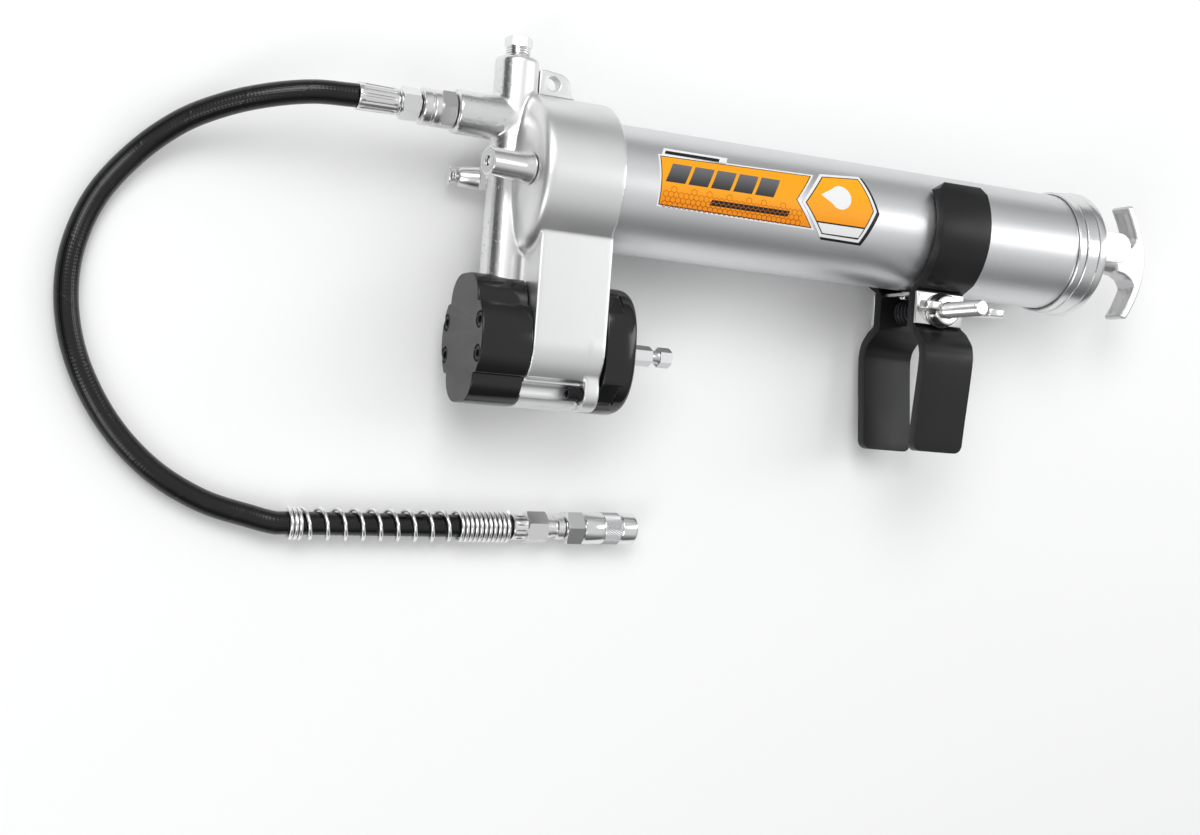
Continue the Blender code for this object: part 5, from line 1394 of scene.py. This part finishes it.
    def shaft(self) -> None:
        """Makes the drive shaft with its hexagon shank."""
        mk, c = self.make, (self.head.gear_y, 0.0)
        shaft = lathe(Axis.X, [(21.4, 0.0), (21.4, 2.7), (21.7, 3.0), (31.0, 3.0), (31.0, 7.8), (31.2, 8.0),
                               (44.7, 8.0), (44.9, 7.8), (44.9, 6.0), (59.4, 6.0), (60.0, 5.4), (60.0, 0.0)],
                      c, 72)
        shank = hex_nut(Axis.X, 59.0, 84.0, 8.0, c, 0.0)
        groove = lathe(Axis.X, [(74.0, 3.3), (74.0, 6.0), (78.0, 6.0), (78.0, 3.3), (77.0, 2.9), (75.0, 2.9)],
                       c, 48, 0.01)
        mk.place(merge(shaft, cut(shank, groove)), "drive_spindle", "input", Tone.GROUND,
                 ("drive_shaft",))

    def build(self) -> None:
        """Makes the gearbox."""
        self.front_cover()
        self.screws()
        self.rear_cover()
        self.shaft()


# ------------------------------------------------------------------------------------------------ barrel
@dataclass
class Barrel:
    """The barrel with its label, end cap, spring, T-handle and latch."""

    make: Maker
    radius: float = 28.5
    wall: float = 1.3
    start: float = 14.4
    end: float = 303.0
    # the panel's orange at its painted-shade end (lower Y side) and at its lit end (upper Y side)
    orange_shaded: Colour = (0.86, 0.26, 0.004)
    orange_lit: Colour = (0.93, 0.38, 0.008)
    panel: tuple[Point2, ...] = ((58.6, -19.1), (58.7, 28.6), (138.6, 32.4), (129.3, 4.8), (139.5, -20.6))
    badge: tuple[Point2, ...] = ((142.2, 34.8), (164.0, 39.2), (171.1, 4.4), (164.2, -26.2), (143.0, -25.6),
                                 (130.9, 3.4))

    def flat(self, outline: tuple[Point2, ...]) -> list[Point2]:
        """Lays an outline of (x, degrees round) out flat, in mm."""
        return [(x, math.radians(a) * self.radius) for x, a in outline]

    @staticmethod
    def inset(outline: list[Point2], width: float) -> list[Point2]:
        """Draws a clockwise outline in by a width, or out if it is negative."""
        lines = []
        for (x0, y0), (x1, y1) in zip(outline, outline[1:] + outline[:1]):
            run = Vector((x1 - x0, y1 - y0)).normalized()
            lines.append((Vector((x0, y0)) + Vector((run.y, -run.x)) * width, run))
        out = []
        for (p, d), (q, e) in zip(lines[-1:] + lines[:-1], lines):
            across = d.x * e.y - d.y * e.x
            t = ((q.x - p.x) * e.y - (q.y - p.y) * e.x) / across
            out.append((p.x + d.x * t, p.y + d.y * t))
        return out

    def film(self, outline: list[Point2], layer: int) -> bpy.types.Object:
        """Wraps a thin film of a flat outline round the barrel, in its layer."""
        sheet = prism(Axis.Z, outline, 0.02 + 0.03 * (layer - 1), 0.05 + 0.03 * layer)
        bm = bmesh.new()
        bm.from_mesh(sheet.data)
        low = min(y for _, y in outline)
        high = max(y for _, y in outline)
        at = math.floor(low) + 0.5
        while at < high:
            everything = bm.verts[:] + bm.edges[:] + bm.faces[:]
            bmesh.ops.bisect_plane(bm, geom=everything, plane_co=(0.0, at, 0.0), plane_no=(0.0, 1.0, 0.0))
            at += 1.0
        for vert in bm.verts:
            x, s, h = vert.co
            r, a = self.radius + h, s / self.radius
            vert.co = (x, r * math.sin(a), r * math.cos(a))
        bm.normal_update()
        bmesh.ops.recalc_face_normals(bm, faces=bm.faces)
        bm.to_mesh(sheet.data)
        bm.free()
        return sheet

    def print_film(self, name: str, finish: Finish, layer: int, *outlines: list[Point2]) -> None:
        """Prints one colour of the label."""
        films = [self.film(outline, layer) for outline in outlines]
        self.make.place(merge(*films), name, "gun", finish, (), "barrel", 50.0)

    def band(self, outline: list[Point2], low: float, high: float) -> list[Point2]:
        """Cuts the part of a convex outline that lies between two heights."""
        out = list(outline)
        for limit, side in ((low, 1.0), (high, -1.0)):
            kept = []
            for (x0, y0), (x1, y1) in zip(out, out[1:] + out[:1]):
                a, b = side * (y0 - limit), side * (y1 - limit)
                if a >= 0.0:
                    kept.append((x0, y0))
                if a * b < 0.0:
                    t = a / (a - b)
                    kept.append((x0 + (x1 - x0) * t, y0 + (y1 - y0) * t))
            out = kept
        return out

    def label(self) -> None:
        """Prints the orange panel and the hexagon badge, with plain shapes and no lettering, each ink with
        painted shade across the barrel.
        """
        mk = self.make
        y = mk.origin.y
        dark = (0.012, 0.012, 0.012)

        def film(name: str, low: Colour, high: Colour, shade_fade: Point2, rough: float) -> PrintedFilm:
            """Gives one of the label's colours, with its painted shade fading across the barrel, measured
            from the barrel's axis.
            """
            return PrintedFilm(name, low, high, (y + shade_fade[0], y + shade_fade[1]), rough)

        # every ink is darker on the lower Y side and lighter on the upper side: painted shade over the
        # barrel's curve
        white = film("label_white", (0.80, 0.80, 0.80), (0.86, 0.86, 0.86), (-0.02, 0.02), 0.3)
        black = film("label_black", (0.008, 0.008, 0.008), dark, (-0.02, 0.02), 0.26)
        orange = film("label_orange", self.orange_shaded, self.orange_lit, (-0.010, 0.004), 0.30)
        comb_ink = film("label_comb", (0.30, 0.055, 0.001), (0.66, 0.19, 0.004), (-0.010, -0.001), 0.32)
        bright = film("badge_orange", (0.90, 0.30, 0.004), (0.95, 0.42, 0.010), (-0.012, 0.014), 0.30)
        panel, badge = self.flat(self.panel), self.flat(self.badge)
        self.print_film("panel_border", white, 1, panel)
        self.print_film("panel_outline", black, 2, self.inset(panel, 0.8))
        self.print_film("panel_field", orange, 3, self.inset(panel, 1.2))
        self.print_film("badge_shadow", black, 4, [(x + 1.3, s - 1.0) for x, s in self.inset(badge, -0.3)])
        self.print_film("badge_border", white, 5, self.inset(badge, 0.0))
        self.print_film("badge_outline", black, 6, self.inset(badge, 1.4))
        inner = self.inset(badge, 1.9)
        low = min(s for _, s in inner)
        self.print_film("badge_field", bright, 7, self.band(inner, low + 5.4, 99.0))
        self.print_film("badge_strip", white, 7, self.band(inner, low + 0.3, low + 4.7))
        self.print_film("badge_drop", white, 8, self.drop((151.6, 6.4), 5.6))
        ink = film("label_grey", (0.012, 0.012, 0.013), (0.16, 0.16, 0.165), (-0.001, 0.012), 0.3)
        blocks = [self.slant(61.5 + 11.2 * k, 6.0, 9.6, 8.6) for k in range(5)]
        self.print_film("panel_blocks", ink, 4, *blocks)
        self.print_film("panel_bar", black, 4, self.slant(84.0, -4.6, 40.0, 2.6))
        self.print_film("tab_border", white, 1, self.slant(60.0, 15.6, 32.0, 5.0))
        self.print_film("tab_bar", black, 2, self.slant(62.0, 15.8, 27.0, 1.9))
        self.combs(comb_ink)

    @staticmethod
    def slant(x: float, s: float, length: float, height: float) -> list[Point2]:
        """Gives a plain slanted bar, clockwise."""
        lean = height * 0.45
        return [(x, s - height / 2.0), (x + lean, s + height / 2.0), (x + length + lean, s + height / 2.0),
                (x + length, s - height / 2.0)]

    @staticmethod
    def drop(centre: Point2, radius: float) -> list[Point2]:
        """Gives a plain drop of grease, its point to the front, clockwise."""
        x, s = centre
        ring = [(x + radius * math.cos(t), s + radius * math.sin(t))
                for t in (math.radians(140.0 - 280.0 * k / 24.0) for k in range(25))]
        return ring + [(x - radius * 1.9, s)]

    def combs(self, ink: Finish) -> None:
        """Draws the honeycomb that fades out over the panel's lower part."""
        mk = self.make
        side = 1.45
        edges: dict[tuple[int, int, int, int], tuple[Vector, Vector]] = {}
        for row in range(7):
            for column in range(34):
                cx = 62.2 + column * side * math.sqrt(3.0) + (row % 2) * side * math.sqrt(3.0) / 2.0
                cy = -7.9 + row * side * 1.5
                if cx > 131.0 or cy > -2.2 + 1.3 * math.sin(column * 1.7):
                    continue
                turns = [math.pi / 3.0 * k for k in range(7)]
                ring = [Vector((cx + side * math.sin(t), cy + side * math.cos(t), 0.0)) for t in turns]
                for a, b in zip(ring[:-1], ring[1:]):
                    one, two = sorted((round(p.x * 50), round(p.y * 50)) for p in (a, b))
                    edges[(*one, *two)] = (a, b)
        mesh = bpy.data.meshes.new("combs")
        points = [tuple(p) for pair in edges.values() for p in pair]
        mesh.from_pydata(points, [(2 * k, 2 * k + 1) for k in range(len(edges))], [])
        seed = bpy.data.objects.new("combs", mesh)
        bpy.context.scene.collection.objects.link(seed)
        drawn = mk.comb.run(seed, mk.material(ink), radius=self.radius, lift=0.15, line=0.15)
        mk.place(drawn, "panel_combs", "gun", ink, (), "barrel", 50.0)

    def tube(self) -> None:
        """Makes the barrel and the stepped end cap."""
        mk, r = self.make, self.radius
        inner = r - self.wall
        clamp = (mk.metres((200, 0, 0)).x, mk.metres((234, 0, 0)).x)
        tube = lathe(Axis.X, [(self.start, inner), (self.start, r - 0.3), (self.start + 0.3, r),
                              (60.0, r), (100.0, r), (140.0, r), (180.0, r), (220.0, r), (260.0, r),
                              (self.end - 0.3, r), (self.end, r - 0.3), (self.end, inner)], seg=192)
        mk.place(tube, "barrel_tube", "gun", DrawnTube("drawn_tube", clamp_x=clamp), ("barrel",), angle=20.0)
        c0, c1, cr, bore = self.end - 13.2, self.end + 3.6, r + 2.5, r + 0.4
        cap = lathe(Axis.X, [(c0, bore), (c0, cr - 1.25), (c0 + 0.25, cr - 1.0), (c0 + 3.3, cr - 1.0),
                             (c0 + 3.6, cr - 1.4), (c0 + 4.0, cr - 1.4), (c0 + 4.3, cr - 0.85),
                             (c0 + 4.6, cr - 0.6), (c0 + 10.4, cr - 0.3), (c0 + 10.6, cr - 0.5),
                             (c0 + 10.9, cr - 0.5), (c0 + 11.2, cr - 0.12), (c0 + 11.5, cr), (c1 - 2.0, cr),
                             (c1 - 1.2, cr - 0.25), (c1 - 0.5, cr - 1.0), (c1, cr - 2.6),
                             (c1 + 0.35, cr - 5.0), (c1 + 0.4, cr - 7.0), (c1 + 0.4, 5.4), (c1 + 0.1, 5.0),
                             (c1 - 2.4, 5.0),
                             (c1 - 2.4, bore)], seg=192)
        mk.place(cap, "screwed_cap", "gun", TurnedSteel("satin_cap", (0.76, 0.76, 0.765), 0.19, 0.08, 3200.0),
                 ("end_cap",), angle=24.0)

    def follower_parts(self) -> None:
        """Makes the follower spring, the rod and the T-handle."""
        mk = self.make
        c1 = self.end + 3.6
        line = PumpHead.spring_line(Axis.X, 28.3, c1 - 2.7, 18.4, 1.1, 9)
        spring = mk.wire.run(chain(line), mk.material(Tone.WIRE), wire=1.1, sides=10)
        spring = mk.place(spring, "follower_coil", "gun", Tone.WIRE, ("follower_spring",), angle=60.0)
        tuple(mk.metres((c1 - 2.7, 0, 0)))
        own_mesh(spring)
        h0 = c1 + 13.4
        h1 = h0 + 32.0
        shank = lathe(Axis.X, [(18.4, 0.0), (18.4, 3.4), (19.0, 4.0), (h0 - 0.3, 4.0), (h0 - 0.3, 0.0)],
                      seg=64)
        mk.place(shank, "pull_rod", "handle", Tone.CHROME, ("follower_rod",))
        half = [(18.0, 5.6), (13.0, 6.4), (9.0, 8.6), (6.4, 12.4), (8.2, 17.0), (10.6, 22.0), (13.8, 27.6),
                (13.2, 28.8), (10.6, 29.0), (9.4, 28.0), (5.6, 21.0), (2.6, 14.0), (0.7, 7.0)]
        upper = [(h1 - x, y) for x, y in half]
        arms = prism(Axis.Z, upper + [(h1, 0.0)] + [(x, -y) for x, y in reversed(upper)], -6.2, 6.2)
        for sign in (-1.0, 1.0):
            hollow = [(15.0, -4.2), (7.6, -4.2), (6.4, 0.0), (7.6, 4.2), (15.0, 4.2)]
            channel = prism(Axis.Y, [(h1 - x, z) for x, z in hollow], sign * 13.0, sign * 26.6)
            shear = Matrix.Identity(4)
            shear[0][1] = sign * -0.46
            shear[0][3] = 0.46 * 16.0
            cut(arms, turned(channel, shear))
        hub = lathe(Axis.X, [(h0, 0.0), (h0, 5.4), (h0 + 0.6, 6.2), (h1 - 6.0, 6.2), (h1 - 6.0, 0.0)], seg=72)
        handle = melted(merge(bevel(arms, 1.4, 3, 40.0), hub), 0.45, 8, 0.5)
        cast = PlatedCasting("handle_casting", (0.60, 0.60, 0.605), 0.14, 0.25, mk.metres((-90, 0, 0)).x)
        mk.place(handle, "pull_handle", "handle", cast, ("t_handle",), angle=45.0)

    def latch(self) -> None:
        """Makes the rod's latch plate with its thumb tongue."""
        c1 = self.end + 3.6
        x0, x1 = c1 + 0.8, c1 + 2.4
        plate = prism(Axis.X, [(-11.0, -13.0), (11.0, -13.0), (13.2, -8.0), (13.2, 12.0), (-2.6, 12.0),
                               (-13.2, 4.0), (-13.2, -8.0)], x0, x1)
        cut(plate, rod(Axis.X, x0 - 1.0, x1 + 1.0, (0.0, 0.0), 4.7, 48))
        length = c1 + 30.0
        flat = [(x0, -2.0), (length - 7.6, -2.0)]
        flat += [(length - 7.6 + 7.6 * math.sin(math.radians(a)), 5.6 - 7.6 * math.cos(math.radians(a)))
                 for a in range(9, 180, 9)]
        flat += [(length - 7.6, 13.0), (x0, 13.0)]
        join(plate, prism(Axis.Z, flat, 10.6, 12.2))
        self.make.place(bevel(plate, 0.35, 3, 50.0), "latch_plate", "latch", Tone.ZINC, ("rod_latch",))

    def build(self) -> None:
        """Makes the barrel end to end."""
        self.tube()
        self.label()
        self.follower_parts()
        self.latch()


# ------------------------------------------------------------------------------------------------ clamp
@dataclass
class Clamp:
    """The drill clamp: two jaws, their plates, the bolt with its wing nut, the spring and the guide leg."""

    make: Maker
    barrel_r: float = 28.5
    x0: float = 204.0
    x1: float = 231.5
    thick: float = 5.5
    offset: float = 1.0
    plate_z: float = 16.8
    plate_t: float = 1.8
    paddle_y: float = -105.4
    bolt: Point2 = (217.0, -38.3)
    bolt_r: float = 3.9

    @staticmethod
    def eased(points: list[Point2], per: int = 5) -> list[Point2]:
        """Runs a smooth curve through the points."""
        line = [Vector((u, v, 0.0)) for u, v in points]
        pts = [2 * line[0] - line[1]] + line + [2 * line[-1] - line[-2]]
        out = []
        for k in range(1, len(pts) - 2):
            a, b, c, d = pts[k - 1:k + 3]
            for i in range(per):
                t = i / per
                p = 0.5 * (2 * b + (c - a) * t + (2 * a - 5 * b + 4 * c - d) * t * t
                           + (3 * b - a - 3 * c + d) * t ** 3)
                out.append((p.x, p.y))
        return out + [(line[-1].x, line[-1].y)]

    def jaw(self, sign: float, name: str, node: str, body: str) -> None:
        """Makes a jaw: round the barrel above, flat at its plate, and a paddle for the drill below."""
        plate = self.plate_z - 0.3
        flat = plate - self.thick + 0.5
        inner_r = self.barrel_r + 0.3

        def bow(r: float) -> list[Point2]:
            """Gives the part round the barrel."""
            turns = [math.radians(38.0 - 86.0 * k / 28.0) for k in range(29)]
            return [(r * math.sin(t), self.offset + r * math.cos(t)) for t in turns]

        y = self.bolt[1]
        outer = [(y + 9.1, plate), (y - 7.2, plate)]
        outer += self.eased([(y - 10.3, 21.4), (y - 15.2, 26.0), (y - 19.2, 27.4), (y - 23.7, 27.8),
                             (-72.0, 26.9), (-88.0, 25.0), (self.paddle_y, 23.1)])
        inner = [(y + 7.7, flat), (y - 9.2, flat)]
        inner += self.eased([(y - 13.3, 17.4), (y - 17.2, 21.2), (y - 20.2, 22.4), (y - 23.7, 22.8),
                             (-72.0, 21.9), (-88.0, 20.0), (self.paddle_y, 18.1)])
        face = bow(inner_r + self.thick) + outer + list(reversed(inner)) + list(reversed(bow(inner_r)))
        shape = prism(Axis.X, [(v, sign * z) for v, z in face], self.x0, self.x1)
        tool = rod(Axis.Z, -45.0, 45.0, self.bolt, self.bolt_r + 0.5, 48)
        for x, s in ((self.x0, 1.0), (self.x1, -1.0)):
            deep = 4.6 if s > 0 else 3.0
            wedge = [(x - s, 16.4), (x - s, 26.0), (x + s * deep, 26.0), (x + s * deep, 21.6)]
            join(tool, prism(Axis.Z, wedge, -45.0, 45.0))
            corner = [(x - s, -110.0), (x + s * 4.0, -110.0), (x + s * 4.0, self.paddle_y)]
            for k in range(1, 12):
                t = math.radians(90.0 * k / 12.0)
                corner.append((x + s * (4.0 - 4.0 * math.sin(t)), self.paddle_y + 4.0 - 4.0 * math.cos(t)))
            corner += [(x, self.paddle_y + 4.0), (x - s, self.paddle_y + 4.0)]
            join(tool, prism(Axis.Z, corner, -45.0, 45.0))
        self.make.place(bevel(cut(shape, tool), 0.9, 4, 35.0), name, body, Tone.JAW_BLACK, (node,),
                        angle=28.0)

    def plates(self) -> None:
        """Makes the steel plates, the guide leg and its screw."""
        mk, z0, t = self.make, self.plate_z, self.plate_t
        x, y = self.bolt
        for sign, name, node, body in ((1.0, "near_washer_plate", "plate_near", "near_jaw"),
                                       (-1.0, "far_washer_plate", "plate_far", "gun")):
            low, high = sorted((sign * z0, sign * (z0 + t)))
            plate = box((self.x0 - 0.4, y - 6.9, low), (self.x1 - 1.0, y + 8.5, high))
            cut(plate, rod(Axis.Z, low - 1.0, high + 1.0, (x, y), self.bolt_r + 0.3, 48))
            mk.place(bevel(plate, 0.45, 3), name, body, Tone.ZINC, (node,))
        top = -self.barrel_r - 1.4
        leg = box((self.x0 + 1.5, top - 1.5, -11.2), (self.x1 - 3.5, top, 9.6))
        cut(leg, rod(Axis.Y, top - 3.1, top + 1.9, (self.x0 + 5.4, 0.0), 1.65, 32))
        mk.place(bevel(leg, 0.3, 3), "guide_bar", "gun", Tone.ZINC, ("guide_leg",))
        screw = lathe(Axis.Y, [(top - 3.1, 0.0), (top - 3.1, 1.5), (top - 3.0, 1.9), (top - 2.7, 2.3),
                               (top - 2.3, 2.5), (top - 1.8, 2.5), (top - 1.8, 1.3), (top + 0.7, 1.3),
                               (top + 0.7, 0.0)], (self.x0 + 5.4, 0.0), 48)
        cross = join(box((self.x0 + 5.05, top - 4.0, -1.4), (self.x0 + 5.75, top - 2.4, 1.4)),
                     box((self.x0 + 4.0, top - 4.0, -0.35), (self.x0 + 6.8, top - 2.4, 0.35)))
        mk.place(cut(screw, cross), "guide_bar_screw", "gun", Tone.CHROME, ("guide_screw",))

    def bolt_and_nut(self) -> None:
        """Makes the threaded bolt, the wing nut and the spring between the jaws."""
        mk, (x, y) = self.make, self.bolt
        z = -self.plate_z - self.plate_t - 0.3
        r = self.bolt_r - 0.1
        profile = [(z - 3.4, 0.0), (z - 3.4, 3.2), (z - 3.3, 4.4), (z - 2.9, 6.0), (z - 2.2, 7.0),
                   (z - 1.0, 7.4), (z, 7.4), (z, r)]
        at = 20.0
        while at < 49.6:
            profile += [(at, r), (at + 0.42, r - 0.42), (at + 0.58, r - 0.42)]
            at += 1.0
        profile += [(50.4, r), (51.3, r - 0.9), (51.3, 0.0)]
        mk.place(lathe(Axis.Z, profile, (x, y), 64), "clamp_stud", "gun", Tone.ZINC, ("clamp_bolt",))
        line = PumpHead.spring_line(Axis.Z, -11.2, 11.2, 5.8, 0.75, 8, (x, y))
        spring = mk.wire.run(chain(line), mk.material(Tone.OXIDE), wire=0.75, sides=10)
        mk.place(spring, "clamp_coil", "gun", Tone.OXIDE, ("jaw_spring",), angle=60.0)
        base = self.plate_z + self.plate_t + 0.3
        hub = lathe(Axis.Z, [(base, 0.0), (base, 8.1), (base + 0.3, 8.4), (base + 1.3, 8.4),
                             (base + 1.8, 7.8), (base + 2.2, 7.65), (base + 6.2, 7.2), (base + 6.8, 6.9),
                             (base + 7.0, 6.4),
                             (base + 7.0, 0.0)], (x, y), 96)
        half = 23.0
        side = [(3.0, 1.0), (8.5, 2.2), (12.5, 7.4), (half - 5.0, 11.8), (half - 0.8, 14.8), (half, 17.0),
                (half - 0.6, 20.0), (half - 3.6, 21.6), (half - 9.0, 20.6), (11.6, 16.5), (8.8, 10.0),
                (6.5, 6.2), (3.0, 5.6)]
        for sign in (-1.0, 1.0):
            wing = prism(Axis.Y, [(x + sign * u, base + w) for u, w in self.eased(side, 4)], y - 2.1, y + 2.1)
            merge(hub, bevel(wing, 1.0, 3, 40.0))
        nut = melted(hub, 0.4, 4, 0.6)
        cut(nut, rod(Axis.Z, base - 1.0, base + 9.0, (x, y), self.bolt_r + 0.25, 64))
        mk.place(nut, "wing_nut_casting", "wing", Tone.ZINC, ("wing_nut",), angle=38.0)

    def build(self) -> None:
        """Makes the clamp."""
        self.jaw(1.0, "near_jaw_casting", "jaw_near", "near_jaw")
        self.jaw(-1.0, "far_jaw_casting", "jaw_far", "gun")
        self.plates()
        self.bolt_and_nut()


# ------------------------------------------------------------------------------------------------ studio
@dataclass
class Studio:
    """The camera, the floor and the lights."""

    make: Maker
    lens: float = 53.53
    eye: Point3 = (-287.22, -122.95, 715.24)
    right: Point3 = (0.900327, 0.072906, 0.429064)
    up: Point3 = (-0.077231, 0.996986, -0.007350)
    back: Point3 = (-0.428307, -0.026520, 0.903244)

    def camera(self) -> None:
        """Sets the camera at its place over the bench."""
        data = bpy.data.cameras.new("camera")
        data.lens = self.lens
        data.sensor_width = 36.0
        data.clip_start = 0.01
        data.clip_end = 50.0
        cam = bpy.data.objects.new("camera", data)
        axes = Matrix((self.right, self.up, self.back)).transposed().to_4x4()
        cam.matrix_world = Matrix.Translation(self.make.metres(self.eye)) @ axes
        bpy.context.scene.collection.objects.link(cam)
        bpy.context.scene.camera = cam

    def floor(self) -> None:
        """Lays the plain pale floor."""
        mesh = bpy.data.meshes.new("floor")
        mesh.from_pydata([(-4, -4, 0), (4, -4, 0), (4, 4, 0), (-4, 4, 0)], [], [(0, 1, 2, 3)])
        floor = bpy.data.objects.new("floor", mesh)
        mesh.materials.append(self.make.material(Floor("pale_floor")))
        bpy.context.scene.collection.objects.link(floor)

    @staticmethod
    def lamp(name: str, place: Point3, size: Point2, power: float) -> None:
        """Hangs a soft rectangular light and turns it to the middle of the bench."""
        data = bpy.data.lights.new(name, "AREA")
        data.shape = "RECTANGLE"
        data.size, data.size_y = size
        data.energy = power
        lamp = bpy.data.objects.new(name, data)
        lamp.location = place
        target = Vector((0.0, 0.0, 0.03))
        lamp.rotation_euler = (target - Vector(place)).to_track_quat("-Z", "Y").to_euler()
        bpy.context.scene.collection.objects.link(lamp)

    def lights(self) -> None:
        """Lights the bench softly from above, with darker ends for the metal to show."""
        world = bpy.data.worlds.new("studio")
        world.use_nodes = True
        bpy.context.scene.world = world
        bpy.context.scene.view_settings.view_transform = "Standard"
        graph = Graph(world.node_tree)
        shade = world.node_tree.nodes["Background"]
        where = graph.add("ShaderNodeTexCoord").outputs["Generated"]
        part = graph.parts(where)
        height = graph.ramp(part["Z"], 0.05, 0.75)
        sky = graph.mix(height, (0.30, 0.305, 0.31), (0.92, 0.925, 0.93))
        side = graph.minus(1.0, graph.ramp(part["X"], -0.92, -0.60))
        sky = graph.mix(graph.times(side, 0.85), sky, (0.05, 0.05, 0.052))
        near = graph.minus(1.0, graph.ramp(part["Y"], -0.85, -0.45))
        sky = graph.mix(graph.times(near, 0.70), sky, (0.08, 0.08, 0.083))
        graph.wire(sky, shade.inputs["Color"])
        shade.inputs["Strength"].default_value = 0.80
        self.lamp("key_box", (-0.55, 0.65, 1.15), (1.0, 0.6), 8.0)
        self.lamp("front_box", (-0.9, -0.7, 0.8), (0.5, 0.7), 3.0)
        self.lamp("rear_strip", (0.9, 0.2, 0.7), (0.3, 1.1), 3.0)

    def build(self) -> None:
        """Sets the studio up."""
        self.camera()
        self.floor()
        self.lights()


def main() -> None:
    """Builds the gun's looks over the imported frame."""
    logging.basicConfig(level=logging.INFO, format="%(name)s %(message)s")
    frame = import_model()
    make = Maker()
    Studio(make).build()
    HoseLine(make).build()
    head = PumpHead(make)
    head.build()
    Gearbox(make, head).build()
    Barrel(make).build()
    Clamp(make).build()
    nodes = frame["nodes"]
    make.dress(nodes, Tone.GROUND, "ring_gear", "crank_carrier", "planet_gear_1", "planet_gear_2",
               "planet_gear_3", "sun_gear", "plunger", "yoke", "crank_bearing", "shaft_bearing", "check_ball")
    make.dress(nodes, Tone.ZINC, "follower_plate", "follower_nut", "coupler_jaws")
    make.dress(nodes, Tone.SEAL, "follower")


if __name__ == "__main__":
    main()
